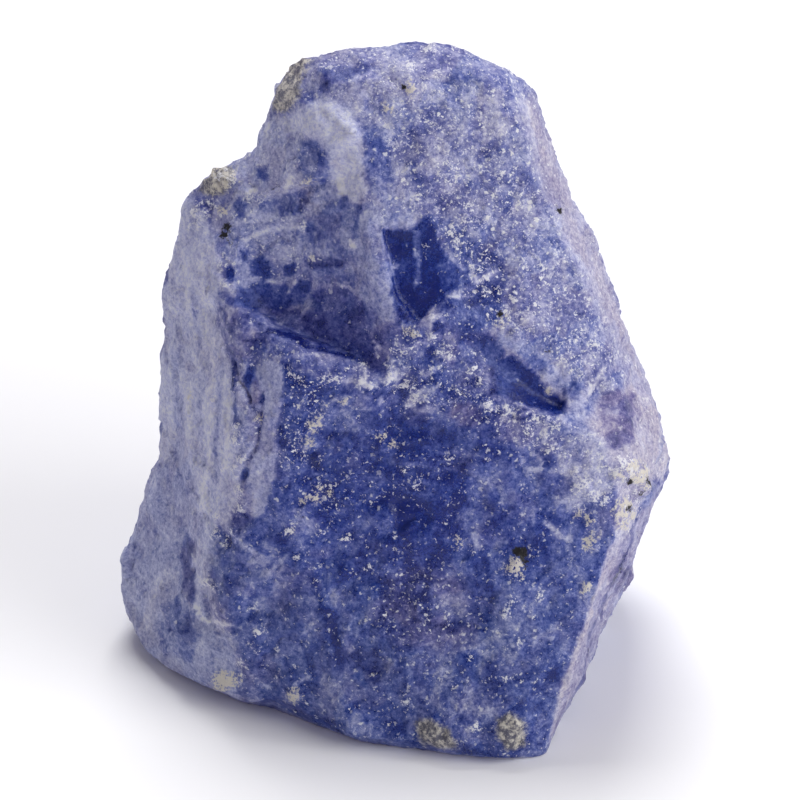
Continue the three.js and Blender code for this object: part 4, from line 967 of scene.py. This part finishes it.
plain = smoothstep(PLAIN_HAZE, coats["haze_and_shading"]) * (HIDDEN_SHARE + (1 - HIDDEN_SHARE) * front)
slab = smoothstep(SLAB_BORDER, inside(ZONES["left slab"][0])) * front
grooves = layered_noise(smooth * GROOVE_STRETCH, GROOVE_SIZE, 34, 3)
coats["haze_and_shading"] += slab * GROOVE_HAZE * grooves
face = smoothstep(FACE_BORDER, inside(ZONES["front face"][0])) * front
sloped = smooth * STREAK_STRETCH + STREAK_SLOPE * smooth[:, :1]
coats["haze_and_shading"] += face * STREAK_HAZE * layered_noise(sloped, STREAK_SIZE, 35, 3)


def bent_chips(kind):
    """The heights and the tones of one size of chips, with their borders bent a little."""
    return chips(smooth + kind["bend"] * warp[:, :1], kind["size"], kind["seed"])


# Each chip's tone is painted light and shade for its slant, added to the haze.
chip_heights = {}
for name, kind in CHIPS.items():
    chip_heights[name], tone = bent_chips(kind)
    coats["haze_and_shading"] += plain * kind["haze_and_shading"] * tone
coats["plum"] += PLUM_TONE * bent_chips(PLUM_CHIPS)[1]
print("haze from", coats["haze_and_shading"].min().round(2), "to", coats["haze_and_shading"].max().round(2))

# %% [markdown]
# ## Minerals grown into the skin
# The stone grew in rock, and crumbs of it are still fused to the skin: cream and olive
# grains, a few white ones, and black graphite. They are too small to be pieces of their
# own. Each is a dot with its place and radius, or an outline for the larger patches, and
# it is raised a hair as well as coloured. A dot would be drawn out into a line on skin
# that the camera sees nearly edge on, so such skin gets none.

# %% Crumbs of rock and graphite
WHITE = [
    (0.28, 8.28, 0.13), (0.7, 8.65, 0.1), (1.27, 8.8, 0.1), (0.9, 8.07, 0.09), (0.1, 6.67, 0.08),
    (0.65, 6.97, 0.08), (1.25, 5.78, 0.09), (0.97, 5.58, 0.08), (1.2, 5.42, 0.08),
    (1.45, 5.45, 0.09), (2.45, 5.62, 0.09), (2.98, 4.9, 0.1), (1.7, 4.83, 0.08),
    (0.42, 5.03, 0.09), (2.17, 4.55, 0.08), (0.68, 3.9, 0.08), (2.1, 3.48, 0.08),
    (-2.77, 5.35, 0.09), (-3.75, 6.1, 0.09), (-1.12, 3.9, 0.08), (-2.92, 4.5, 0.08),
    (-2.42, 4.33, 0.09), (-2.15, 3.52, 0.08), (-4.62, 4.85, 0.09), (-4.08, -1.88, 0.09),
    (-4.4, -1.73, 0.08), (-4.38, -3.62, 0.08), (-4.83, -4.55, 0.1), (-4.65, -4.67, 0.09),
    (-3.58, -5.8, 0.13), (-3.12, -6.2, 0.09), (-3.52, -6.25, 0.09), (-4.03, -6.58, 0.1),
    (-3.7, -5.15, 0.08), (-2.58, -3.92, 0.09), (-0.82, -4.2, 0.08), (1.23, -1.5, 0.09),
    (1.45, -1.18, 0.08), (0.4, -2.08, 0.08), (4.22, 1.4, 0.09), (4.47, 1.77, 0.09), (2.52, 2, 0.1),
    (3.62, -0.88, 0.09), (3.83, -0.7, 0.09), (0.7, 0.1, 0.1), (0.12, 0.35, 0.1),
    (-0.3, 0.95, 0.09), (1, 1.2, 0.13), (1.18, 1.38, 0.09), (0.05, 1.2, 0.1), (0.25, 1.38, 0.09),
    (1.75, 0.7, 0.1), (1.95, 0.5, 0.09), (2.3, -0.2, 0.1), (3.33, -0.45, 0.09),
    (1.73, -6.47, 0.08), (2.67, -6.92, 0.09), (1.32, -7.2, 0.08), (0.15, -7.55, 0.09),
    (4.12, -6.55, 0.08), (2.95, -6.1, 0.08), (1.95, -8.2, 0.13), (-2.7, 0.7, 0.09),
    (-2.5, 0.62, 0.08), (5.5, -1.55, 0.13), (5.33, -1.75, 0.1), (5.7, -1.7, 0.1),
    (-4.05, -0.95, 0.15), (-4, -0.6, 0.1), (-3.92, -1.43, 0.1), (-4.1, -1.68, 0.1),
    (-4, -2.23, 0.1), (-4, -2.7, 0.11), (-4.53, -2.92, 0.12), (-4.58, -3.33, 0.11),
    (-4.15, -3.33, 0.1), (-2.73, -3.25, 0.12), (-1.32, -3.5, 0.1), (-1.95, -3.3, 0.1),
    (-2.1, -4.17, 0.1), (1.32, 4.2, 0.12), (1.4, 3.92, 0.1), (2.8, 2.55, 0.14), (4.03, 0.93, 0.12),
    (4.3, 0.78, 0.11), (4.85, 1.4, 0.11), (3.58, 3.35, 0.11), (3.05, 3.5, 0.1), (1.65, 4.45, 0.1),
    (1.95, 3.2, 0.12), (1.8, 3.25, 0.1), (2.15, 3.02, 0.12), (2.1, 2.67, 0.1), (4.3, -1.75, 0.12),
    (4.45, -2.2, 0.15), (4.6, -2.1, 0.15), (4.75, -2.33, 0.12), (4.92, -2.4, 0.11),
    (5.1, -2.45, 0.11), (5, -5.55, 0.1), (5.78, -4.22, 0.11), (2.67, -5.3, 0.11),
    (2.8, -5.03, 0.1), (3.48, -4.88, 0.1), (0.1, -1.75, 0.11), (-0.2, 0.57, 0.15),
    (-0.3, 0.42, 0.11), (0.38, 0.03, 0.15), (0.2, -0.12, 0.11), (0.78, 1.57, 0.12),
    (1.18, 1.12, 0.12), (2.62, -0.28, 0.14), (2.88, -0.33, 0.11), (2.15, -0.1, 0.11),
    (3.2, -0.78, 0.1), (-1.48, 5.28, 0.12), (-1.52, 5.4, 0.11), (-3.75, 5.08, 0.11),
    (-3.45, 4.95, 0.1), (-4.38, 2.9, 0.1), (-4.47, 3.35, 0.1), (-4.72, 2.52, 0.1),
    (-5.03, 4.35, 0.11), (-5.25, 5.25, 0.1), (-4.65, 0, 0.09), (-1.75, 0.55, 0.1),
    (-1.5, 0.53, 0.1), (-1.95, 0.57, 0.1), (-0.93, 0.82, 0.11), (-0.95, 0.45, 0.11),
    (-0.78, 0.33, 0.11),
    (-4.8, 4.9, 0.1), (-4.65, 4.9, 0.09), (-5.05, 4.78, 0.11), (-5.17, 4.65, 0.1),
    (-5.25, 4.35, 0.11), (-5.08, 4.45, 0.11), (-4.92, 4.65, 0.1), (-4.45, 5.47, 0.12),
    (-4.25, 5.6, 0.11), (-4.17, 5.33, 0.11),
]
CREAM = [
    (-0.3, 7.25, 0.15), (0.2, 7.75, 0.17), (-4.45, 4.75, 0.12), (-2.05, -0.6, 0.12),
    (-2.67, -3.25, 0.11), (-3.48, -0.42, 0.1), (-4.45, -7.05, 0.28), (-4.2, -7, 0.2),
    (5.85, -1.9, 0.17), (6, -2.1, 0.12), (5.47, -2.8, 0.15), (-2.62, -7.42, 0.17),
    (-1.38, -0.05, 0.1), (-1.85, -0.1, 0.09), (-5.3, 0.1, 0.09), (-2, -0.4, 0.11),
    (-2.25, -0.62, 0.1), (-2.12, -0.78, 0.1), (-2.3, -1.02, 0.11), (-2.17, -1.05, 0.1),
    (-2.4, -2.45, 0.11), (-2.12, -2.48, 0.12), (-1.77, -2.33, 0.1), (-2, -2.2, 0.09),
    (5.7, -1.65, 0.2), (5.42, -1.82, 0.15), (6, -1.77, 0.15), (5.55, -2.55, 0.17),
    (5.7, -2.8, 0.15), (5.55, -3.1, 0.14), (4.75, -3.6, 0.19), (4.62, -4.7, 0.15),
    (2.88, -4.1, 0.2), (2.73, -4.17, 0.15), (2.95, -4.33, 0.12), (1.4, -3.62, 0.12),
    (1.38, -3.48, 0.1), (3.7, 0.28, 0.12), (-0.47, -0.93, 0.1), (-0.17, -1.07, 0.1),
    (0.2, 1.77, 0.11), (0.38, 1.68, 0.1), (2.55, 2.02, 0.14), (2.42, 1.88, 0.11),
    (-2.15, 3.55, 0.1), (-2.3, 5.42, 0.1), (-2.17, 5.55, 0.1), (4.7, -2.98, 0.15),
    (4.45, -2.88, 0.11), (4.8, -3.33, 0.12),
    (-4.35, 5.35, 0.16), (-4.55, 5.55, 0.14), (-4.65, 5.25, 0.12), (-4.1, 5.47, 0.11),
    (-4.3, 5.7, 0.1),
]
SOOT = [
    (-4.38, 4.35, 0.12), (-4.45, 4.15, 0.11), (-4.28, 3.98, 0.07), (3.92, 4.75, 0.09),
    (0.07, 7.78, 0.09), (3.65, 1.23, 0.07), (2.9, -3.83, 0.14), (3.05, -3.85, 0.15),
    (3.15, -4, 0.11), (3.2, -4.15, 0.09), (5.67, -1.98, 0.1), (6, -2.3, 0.1), (6.08, -1.95, 0.09),
    (6.22, -2.02, 0.09), (5.6, -2.65, 0.1), (2.5, 2.17, 0.09),
]
ROCK = [
    [(-3.2, 7.2), (-3.1, 7.7), (-2.85, 8.2), (-2.42, 8.6), (-2.2, 8.5), (-2.3, 8.05),
     (-2.5, 7.55), (-2.75, 7.15)],
    [(-5.1, 5.25), (-4.85, 5.7), (-4.38, 5.85), (-4.05, 5.8), (-4.1, 5.3), (-4.45, 5.1),
     (-4.8, 5.05)],
    [(0.33, -8.05), (0.75, -7.92), (1.25, -8.2), (1.5, -8.62), (1.0, -8.75), (0.45, -8.62)],
    [(2.4, -7.9), (2.8, -7.75), (3.15, -8.05), (3.1, -8.62), (2.7, -8.75), (2.38, -8.45)],
]
SLANT_LIMIT = 0.2


def dots(places):
    """How deep inside the nearest dot a point lies: its radius less the distance."""
    centres = np.array(places)
    gaps = np.linalg.norm(picture[:, None] - centres[None, :, :2], axis=2)
    return (centres[:, 2] - gaps).max(1)


seen = facing > SLANT_LIMIT
cream = np.where(seen, dots(CREAM), -1.0)
white = np.where(seen, dots(WHITE), -1.0)
soot = np.where(seen, dots(SOOT), -1.0)
rock = np.where(seen, np.max([inside(outline) for outline in ROCK], axis=0), -1.0)
print("cream, white and black dots:", len(CREAM), len(WHITE), len(SOOT))

# %% [markdown]
# ## Relief
# The skin now gets its fine shape. It broke in low terraces that run askew through the
# stone, and it is chipped at every size. The slab has upright grooves, a crack runs down
# beside it, and the crumbs stand a little proud. The clearest faces stay the smoothest.
# All of it is added up as one height for each point, in millimetres, and the point moves
# that far along its normal. The foot stays flat, because the stone rests on it.

# %% Fine relief
CRACKS = [
    ([(-4.17, 1.0), (-3.95, 0.5), (-3.74, 0.14), (-3.52, -0.3), (-3.46, -0.42),
      (-3.5, -0.83), (-3.55, -1.1), (-3.74, -1.45), (-3.85, -2.05)], 0.05, 0.12),
    ([(-3.37, 0.28), (-3.46, -0.3)], 0.05, 0.08),
]
CRACK_MOUTH = 1.6
GLASSY = ["window", "scoop", "wedge notch in painted shade", "notch, upper", "sloping face in painted shade"]
GLASS_BORDER, GLASS_CALM, SLAB_CALM = (-0.1, 0.1), 0.75, 0.6
SPLIT_AXES = np.array([[1, 0.3, 0.5], [-0.2, 1, 0.1], [0.1, 0.2, 0.45]])
TERRACE_SIZE, TERRACE_STEPS, TERRACE_HEIGHT = 1.7, 4, 0.16
LARGE_CHIP_HEIGHT, SMALL_CHIP_HEIGHT = 0.07, 0.04
TINY_CHIP_HEIGHT, TINY_CHIP_IN_FLECKS = 0.01, 0.03
GROOVE_HEIGHT = 0.04
CRUMB_BORDER, CRUMB_HEIGHT = (-0.05, 0.1), 0.05
ROCK_BORDER, ROCK_HEIGHT, GRIT_SIZE, GRIT_SHARE = (-0.1, 0.15), 0.04, 0.2, 2
FOOT_FADE, FOOT_LEVEL = (0.05, 0.6), 0.04

normals = point_normals(smooth, faces)
glassy = np.max([inside(ZONES[name][0]) for name in GLASSY], axis=0)
calm = 1 - GLASS_CALM * smoothstep(GLASS_BORDER, glassy) * front

split = terraces(layered_noise(smooth @ SPLIT_AXES, TERRACE_SIZE, 41, 3), TERRACE_STEPS)
height = TERRACE_HEIGHT * split * (1 - SLAB_CALM * slab)
height += LARGE_CHIP_HEIGHT * chip_heights["large"] + SMALL_CHIP_HEIGHT * chip_heights["small"]
height += (TINY_CHIP_HEIGHT + TINY_CHIP_IN_FLECKS * coats["flecks"]) * chip_heights["tiny"]
height = (height - height.mean()) * calm
height += slab * GROOVE_HEIGHT * grooves
height += CRUMB_HEIGHT * smoothstep(CRUMB_BORDER, np.maximum(cream, white))
grit = layered_noise(smooth, GRIT_SIZE, 32, 2)
height += ROCK_HEIGHT * smoothstep(ROCK_BORDER, rock) * (1 + GRIT_SHARE * grit)
for line, width, depth in CRACKS:
    height -= depth * smoothstep((width * CRACK_MOUTH, 0), from_line(line)) * front

above_foot = smoothstep(FOOT_FADE, smooth[:, 2])
carved = smooth + normals * (height * above_foot)[:, None]
carved[:, 2] = np.where(smooth[:, 2] < FOOT_LEVEL, 0.0, np.maximum(carved[:, 2], 0.0))
print("relief in mm, from", height.min().round(3), "to", height.max().round(3))

# %% [markdown]
# ## The finished mesh
# The points go into a new mesh in one call each, back in metres. The marks go with them
# as attributes, one number for each point, which the material reads by name.

# %% Build the piece
crystal_mesh = bpy.data.meshes.new("tanzanite")
crystal_mesh.from_pydata((carved * MM).tolist(), [], faces.tolist())
crystal_mesh.shade_smooth()
crystal = bpy.data.objects.new("tanzanite", crystal_mesh)
bpy.context.scene.collection.objects.link(crystal)

marks = {**coats, "cream": cream, "white": white, "soot": soot, "rock": rock}
for name, values in marks.items():
    attribute = crystal_mesh.attributes.new(name, "FLOAT", "POINT")
    attribute.data.foreach_set("value", values.astype(np.float32))
print("piece:", len(crystal_mesh.polygons) * 2, "triangles and", len(marks), "marks")

# %% [markdown]
# ## Small helpers for materials
# A material is a web of nodes. These helpers add a node, set its values and link it in
# one line, so that the recipes below read like sums.

# %% Node helpers


def feed(tree, socket, value):
    """Links a socket to the value if that is a socket too, and sets it otherwise."""
    if isinstance(value, bpy.types.NodeSocket):
        tree.links.new(value, socket)
    else:
        socket.default_value = value


def put(tree, kind, inputs=(), **settings):
    """A new node, with its settings and its inputs by name."""
    node = tree.nodes.new(kind)
    for name, value in settings.items():
        setattr(node, name, value)
    for name, value in dict(inputs).items():
        feed(tree, node.inputs[name], value)
    return node


def calc(tree, operation, first, second=0.0):
    """One Math node: an operation on two numbers."""
    node = put(tree, "ShaderNodeMath", operation=operation)
    feed(tree, node.inputs[0], first)
    feed(tree, node.inputs[1], second)
    return node.outputs[0]


def rise(tree, value, start, end):
    """0 up to the start, 1 from the end on, with an S curve between."""
    node = put(tree, "ShaderNodeMapRange", interpolation_type="SMOOTHSTEP")
    feed(tree, node.inputs["Value"], value)
    feed(tree, node.inputs["From Min"], start)
    feed(tree, node.inputs["From Max"], end)
    return node.outputs["Result"]


def blend(tree, share, first, second):
    """The first colour where the share is 0 and the second where it is 1."""
    node = put(tree, "ShaderNodeMix", data_type="RGBA")
    feed(tree, node.inputs["Factor"], share)
    feed(tree, node.inputs[6], first)
    feed(tree, node.inputs[7], second)
    return node.outputs[2]


def grain(tree, vector, size, detail=2.0, roughness=0.5):
    """Noise whose lumps are about that many millimetres across."""
    node = put(tree, "ShaderNodeTexNoise", {
        "Vector": vector, "Scale": 1 / (size * MM), "Detail": detail, "Roughness": roughness})
    return node.outputs["Fac"]


def colour(red, green, blue):
    """A colour from 0 to 255 on a screen, as the light values that nodes work in."""
    screen = np.array([red, green, blue]) / 255
    light = np.where(screen <= 0.04045, screen / 12.92, ((screen + 0.055) / 1.055) ** 2.4)
    return (*light.tolist(), 1.0)


print("navy as light:", np.round(colour(22, 36, 112), 3))

# %% [markdown]
# ## White flecks and wisps
# The frost on this stone is made of thousands of tiny bright chips, no two alike, and
# the brightest of them also stand in for glints of light, as painted highlights. Space
# is split into cells, and each has one chip or none, with a size and a brightness of its
# own. Hair-fine pale wisps run between them, where small cracks scatter the light. They
# follow the contour lines of a noise, in short lengths. Each is a node group, so that it
# can be used again with another size and share.

# %% Fleck and wisp groups
LEAST_RADIUS, RADIUS_SPREAD, SPECK_SOFTNESS = 0.18, 0.3, 0.2
LEAST_BRIGHTNESS, BRIGHTNESS_SPREAD = 0.4, 0.8
WISP_WIDTH, WISP_SOFTNESS = 0.02, 0.1
PARTS_PER_WISP, RAREST_LEVEL, LEVEL_DROP = 1.7, 0.68, 0.2


def speck_sockets(group):
    """The sockets that both groups have: a place, a size in millimetres and a share in,
    and a mask out. Returns the inputs, and the scale that gives cells of that size."""
    for name, kind in (("Vector", "NodeSocketVector"), ("Size", "NodeSocketFloat"),
                       ("Share", "NodeSocketFloat")):
        group.interface.new_socket(name, in_out="INPUT", socket_type=kind)
    group.interface.new_socket("Mask", in_out="OUTPUT", socket_type="NodeSocketFloat")
    given = put(group, "NodeGroupInput").outputs
    return given, calc(group, "DIVIDE", 1 / MM, given["Size"])


def spread(tree, value, least, width):
    """The least plus the value times the width."""
    return calc(tree, "ADD", least, calc(tree, "MULTIPLY", value, width))


def fleck_group():
    """Space is split into cells as wide as the size. A cell has a speck if one random
    number is below the share. Two more give its radius and its brightness."""
    group = bpy.data.node_groups.new("flecks", "ShaderNodeTree")
    given, scale = speck_sockets(group)
    cells = put(group, "ShaderNodeTexVoronoi", {"Vector": given["Vector"], "Scale": scale})
    chance = put(group, "ShaderNodeSeparateColor", {"Color": cells.outputs["Color"]}).outputs
    radius = spread(group, chance["Red"], LEAST_RADIUS, RADIUS_SPREAD)
    near = calc(group, "SUBTRACT", radius, cells.outputs["Distance"])
    speck = rise(group, near, 0.0, SPECK_SOFTNESS)
    shown = calc(group, "LESS_THAN", chance["Green"], given["Share"])
    bright = spread(group, chance["Blue"], LEAST_BRIGHTNESS, BRIGHTNESS_SPREAD)
    lit = calc(group, "MULTIPLY", calc(group, "MULTIPLY", speck, shown), bright)
    put(group, "NodeGroupOutput", {"Mask": lit})
    return group


def wisp_group():
    """Noise makes a hilly land, and a wisp runs where its height is just a half. It is
    brightest on that line, and a second noise breaks it into short lengths."""
    group = bpy.data.node_groups.new("wisps", "ShaderNodeTree")
    given, scale = speck_sockets(group)
    land = put(group, "ShaderNodeTexNoise", {
        "Vector": given["Vector"], "Scale": scale, "Detail": 4.0, "Roughness": 0.6})
    parts = put(group, "ShaderNodeTexNoise", {
        "Vector": given["Vector"], "Scale": calc(group, "MULTIPLY", scale, PARTS_PER_WISP),
        "Detail": 2.0})
    above = calc(group, "ABSOLUTE", calc(group, "SUBTRACT", land.outputs["Fac"], 0.5))
    line = calc(group, "SUBTRACT", 1.0, rise(group, above, 0.0, WISP_WIDTH))
    level = spread(group, given["Share"], RAREST_LEVEL, -LEVEL_DROP)
    shown = calc(group, "SUBTRACT", parts.outputs["Fac"], level)
    lit = calc(group, "MULTIPLY", line, rise(group, shown, 0.0, WISP_SOFTNESS))
    put(group, "NodeGroupOutput", {"Mask": lit})
    return group


speck_groups = {"flecks": fleck_group(), "wisps": wisp_group()}
print("nodes in the groups:", [len(group.nodes) for group in speck_groups.values()])


def specks(tree, name, vector, size, share):
    """One use of a speck group in a material."""
    node = put(tree, "ShaderNodeGroup", node_tree=speck_groups[name])
    for socket, value in (("Vector", vector), ("Size", size), ("Share", share)):
        feed(tree, node.inputs[socket], value)
    return node.outputs["Mask"]


# %% [markdown]
# ## Frosted tanzanite
# Tanzanite is clear and bends light strongly, with an index of about 1.69. Green light
# fades fastest inside it, so thick stone is violet blue. The skin decides the rest. Two
# colour ramps run from navy, where the stone looks into itself, to pale lavender, where
# bruised skin scatters the light. One ramp is blue and one is plum, and the plum mark
# blends them. They begin a little below a haze of 0 and end above 1, so that even the
# clearest and the palest skin can still be mottled.

# %% Stone material
SHADE_STEPS = [-0.3, 0.0, 0.25, 0.5, 0.75, 1.0, 1.3]
BLUE_SHADES = [
    (2, 32, 119), (11, 47, 138), (61, 83, 164), (108, 122, 190), (163, 170, 216),
    (206, 210, 243), (240, 242, 252),
]
PLUM_SHADES = [
    (22, 24, 90), (38, 39, 108), (82, 79, 139), (118, 110, 164), (162, 155, 191),
    (206, 198, 214), (240, 235, 243),
]

stone = bpy.data.materials.new("frosted tanzanite")
stone.use_nodes = True
tree = stone.node_tree
tree.nodes.clear()
place = put(tree, "ShaderNodeTexCoord").outputs["Object"]


def plus(first, second):
    """The sum of two values in the stone's material."""
    return calc(tree, "ADD", first, second)


def times(first, second):
    """The product of two values in the stone's material."""
    return calc(tree, "MULTIPLY", first, second)


def mark(name):
    """The value of one of the piece's marks, at the point that is being shaded."""
    return put(tree, "ShaderNodeAttribute", attribute_name=name).outputs["Fac"]


def ramp(value, shades):
    """A colour ramp over the range of haze, with the shades at their steps."""
    least, most = SHADE_STEPS[0], SHADE_STEPS[-1]
    share = put(tree, "ShaderNodeMapRange", {"Value": value, "From Min": least, "From Max": most})
    node = put(tree, "ShaderNodeValToRGB", {"Fac": share.outputs["Result"]})
    places = [(step - least) / (most - least) for step in SHADE_STEPS]
    for position in places[1:-1]:
        node.color_ramp.elements.new(position)
    for element, position, shade in zip(node.color_ramp.elements, places, shades):
        element.position = position
        element.color = colour(*shade)
    return node.outputs["Color"]


print("haze runs from", SHADE_STEPS[0], "to", SHADE_STEPS[-1])

# %% [markdown]
# ## Mottling, sugar and wisps
# No patch of the skin is one even colour. Noise at two sizes breaks the haze up: soft
# mottling a little over half a millimetre across, and sugary frost of a tenth of one. The
# mottling shows most where the skin is clear, and it shifts the plum cast too. The wisps
# add their haze last. Skin close to a white crumb is crushed, so it has more flecks.

# %% The stone's own colour
MOTTLE_SIZE, SUGAR_SIZE, SUGAR_HAZE = 0.6, 0.11, 1.65
MOTTLE_MOST, MOTTLE_LOSS = 1.1, 0.6
WISP_SIZE, WISP_HAZE, PLUM_MOTTLE = 0.5, 0.5, 0.9
NEAR_WHITE, NEAR_WHITE_FLECKS = (-0.12, 0.02), 0.5

mottle = calc(tree, "SUBTRACT", grain(tree, place, MOTTLE_SIZE, 3.0, 0.65), 0.5)
sugar = calc(tree, "SUBTRACT", grain(tree, place, SUGAR_SIZE, 3.0, 0.8), 0.5)
mottled = times(mottle, spread(tree, mark("haze_and_shading"), MOTTLE_MOST, -MOTTLE_LOSS))
haze_and_shading = plus(plus(mark("haze_and_shading"), mottled), times(sugar, SUGAR_HAZE))

white_depth = mark("white")
density = plus(mark("flecks"), times(rise(tree, white_depth, *NEAR_WHITE), NEAR_WHITE_FLECKS))
haze_and_shading = plus(haze_and_shading, times(specks(tree, "wisps", place, WISP_SIZE, density), WISP_HAZE))
plum = spread(tree, mottle, mark("plum"), -PLUM_MOTTLE)
base = blend(tree, plum, ramp(haze_and_shading, BLUE_SHADES), ramp(haze_and_shading, PLUM_SHADES))
print("nodes under the flecks:", len(tree.nodes))

# %% [markdown]
# ## Flecks over the colour
# Pinpoints and larger flakes come from the same group. A fine noise bends the place
# first, so that the chips have crooked outlines. They are dense and bright where the
# flecks mark is high, and few and dim where it is low. Their white is partly frost and
# partly painted highlight: the glints that the light strikes from the rough skin.

# %% Flecks over the colour
FLECK_AND_GLINT_WHITE = colour(250, 250, 254)
BEND_GRAIN, FLECK_BEND = 0.07, 0.16
PINPOINT_SIZE, PINPOINT_EXTRA, PINPOINT_STRENGTH = 0.085, 0.05, 0.85
FLAKE_SIZE, FLAKE_SHARE = 0.15, 0.45
LEAST_SHOWN, SHOWN_WITH_DENSITY = 0.5, 0.8

bend = put(tree, "ShaderNodeTexNoise", {
    "Vector": place, "Scale": 1 / (BEND_GRAIN * MM), "Detail": 1.0})
bent = put(tree, "ShaderNodeVectorMath", operation="MULTIPLY_ADD")
for socket, value in zip(bent.inputs, (bend.outputs["Color"], (FLECK_BEND * MM,) * 3, place)):
    feed(tree, socket, value)
bent = bent.outputs["Vector"]
pinpoints = specks(tree, "flecks", bent, PINPOINT_SIZE, plus(density, PINPOINT_EXTRA))
flakes = specks(tree, "flecks", bent, FLAKE_SIZE, times(density, FLAKE_SHARE))
frost_and_glints = calc(tree, "MAXIMUM", times(pinpoints, PINPOINT_STRENGTH), flakes)
shown = spread(tree, density, LEAST_SHOWN, SHOWN_WITH_DENSITY)
# The white laid over the colour is partly frost and partly painted highlight.
base = blend(tree, times(frost_and_glints, shown), base, FLECK_AND_GLINT_WHITE)
print("widths of pinpoints and flakes in mm:", PINPOINT_SIZE, FLAKE_SIZE)

# %% [markdown]
# ## Crumbs over the flecks
# The depth marks say where the crumbs lie. Adding frost to a depth before it is cut off
# makes the edge of a crumb ragged, and breaks a small one into grains. Rock is mixed of
# two tones, and the graphite goes on last, because it covers all else.

# %% Crumbs over the flecks
CREAM_GREY = colour(238, 231, 212)
OLIVE_GREY = colour(96, 94, 98)
GRAPHITE = colour(16, 14, 18)
RAGGED, GRAINY = 0.35, 0.9
ROCK_GRAIN, ROCK_LEVELS = 0.16, (0.42, 0.62)

ragged = times(sugar, RAGGED)
grainy = times(sugar, GRAINY)
rock_colour = blend(
    tree, rise(tree, grain(tree, place, ROCK_GRAIN, 4.0, 0.75), *ROCK_LEVELS),
    OLIVE_GREY, CREAM_GREY)
crumbs = [
    (mark("rock"), ragged, (-0.06, 0.12), 0.85, rock_colour),
    (mark("cream"), grainy, (0.0, 0.1), 0.85, CREAM_GREY),
    (white_depth, grainy, (0.03, 0.1), 0.9, FLECK_AND_GLINT_WHITE),
    (mark("soot"), ragged, (0.0, 0.04), 1.0, GRAPHITE),
]
for depth, raggedness, border, cover, shade in crumbs:
    crumb = rise(tree, plus(depth, raggedness), *border)
    base = blend(tree, times(crumb, cover), base, shade)
print("kinds of crumb:", len(crumbs))

# %% [markdown]
# ## Shader and body
# One Principled shader makes the skin. The see-through share, the index and the shine are
# plain numbers on its sockets, because the whole stone shares them. The shine is set
# low, because frost scatters the light that a clean face would mirror. Hazy skin and
# chips are rougher than clear skin, and the sugar is a fine bump. An absorption volume
# fills the body, so light that goes through it comes out violet blue.

# %% Shader and body
TANZANITE_IOR, SEE_THROUGH, SHINE = 1.69, 0.3, 0.12
BODY_TINT, BODY_DENSITY = (0.66, 0.3, 0.92, 1.0), 300.0
SMOOTHEST, ROUGH_WITH_HAZE, ROUGH_WITH_FROST = 0.3, 0.25, 0.2
SUGAR_BUMP, SUGAR_HEIGHT = 0.8, 0.04

rough = plus(spread(tree, haze_and_shading, SMOOTHEST, ROUGH_WITH_HAZE), times(frost_and_glints, ROUGH_WITH_FROST))
bump = put(tree, "ShaderNodeBump", {
    "Height": sugar, "Strength": SUGAR_BUMP, "Distance": SUGAR_HEIGHT * MM})
skin = put(tree, "ShaderNodeBsdfPrincipled", {
    "Base Color": base, "Roughness": rough, "Normal": bump.outputs["Normal"],
    "IOR": TANZANITE_IOR, "Specular IOR Level": SHINE, "Transmission Weight": SEE_THROUGH})
body = put(tree, "ShaderNodeVolumeAbsorption", {"Color": BODY_TINT, "Density": BODY_DENSITY})
put(tree, "ShaderNodeOutputMaterial", {
    "Surface": skin.outputs["BSDF"], "Volume": body.outputs["Volume"]})
crystal_mesh.materials.append(stone)
print("stone material nodes:", len(tree.nodes))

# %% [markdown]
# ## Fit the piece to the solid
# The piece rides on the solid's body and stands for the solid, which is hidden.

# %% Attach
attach(crystal, "root")
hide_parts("crystal")
print("stands for the solid:", crystal.name)

# %% [markdown]
# ## Floor and light
# The stone stands on a white sheet, which comes out almost pure white. Its short, soft
# shadow says that the main light is large and hangs above, a little behind the stone. A
# second large light, at the right and toward the camera, lights the front and the right
# side. The room adds the rest, tinted a little violet as the photograph's shadow is.

# %% Floor and lights
FLOOR_HALF = 400.0
PAPER_WHITE, PAPER_ROUGHNESS = (0.9, 0.9, 0.9, 1.0), 0.9
ROOM_LIGHT, ROOM_TINT = 0.33, (1.0, 0.96, 1.05, 1.0)
BOXES = {
    "softbox above": {"place": (-10, 145, 290), "size": 150, "power": 0.74},
    "softbox on the right": {"place": (270, -120, 180), "size": 240, "power": 0.8},
}

floor_mesh = bpy.data.meshes.new("floor")
corners = np.array([(-1, -1, 0), (1, -1, 0), (1, 1, 0), (-1, 1, 0)]) * FLOOR_HALF * MM
floor_mesh.from_pydata(corners.tolist(), [], [(0, 1, 2, 3)])
floor = bpy.data.objects.new("floor", floor_mesh)
bpy.context.scene.collection.objects.link(floor)
paper = bpy.data.materials.new("white paper")
paper.use_nodes = True
paper_skin = paper.node_tree.nodes["Principled BSDF"]
paper_skin.inputs["Base Color"].default_value = PAPER_WHITE
paper_skin.inputs["Roughness"].default_value = PAPER_ROUGHNESS
floor_mesh.materials.append(paper)

world = bpy.data.worlds.new("white room")
world.use_nodes = True
background = world.node_tree.nodes["Background"]
background.inputs["Color"].default_value = ROOM_TINT
background.inputs["Strength"].default_value = ROOM_LIGHT
bpy.context.scene.world = world

for name, box in BOXES.items():
    lamp = bpy.data.lights.new(name, "AREA")
    lamp.size = box["size"] * MM
    lamp.energy = box["power"]
    stand = bpy.data.objects.new(name, lamp)
    stand.location = Vector(box["place"]) * MM
    stand.rotation_euler = stand.location.to_track_quat("Z", "Y").to_euler()
    bpy.context.scene.collection.objects.link(stand)

bpy.context.scene.view_settings.view_transform = "Standard"
print("softboxes:", list(BOXES))
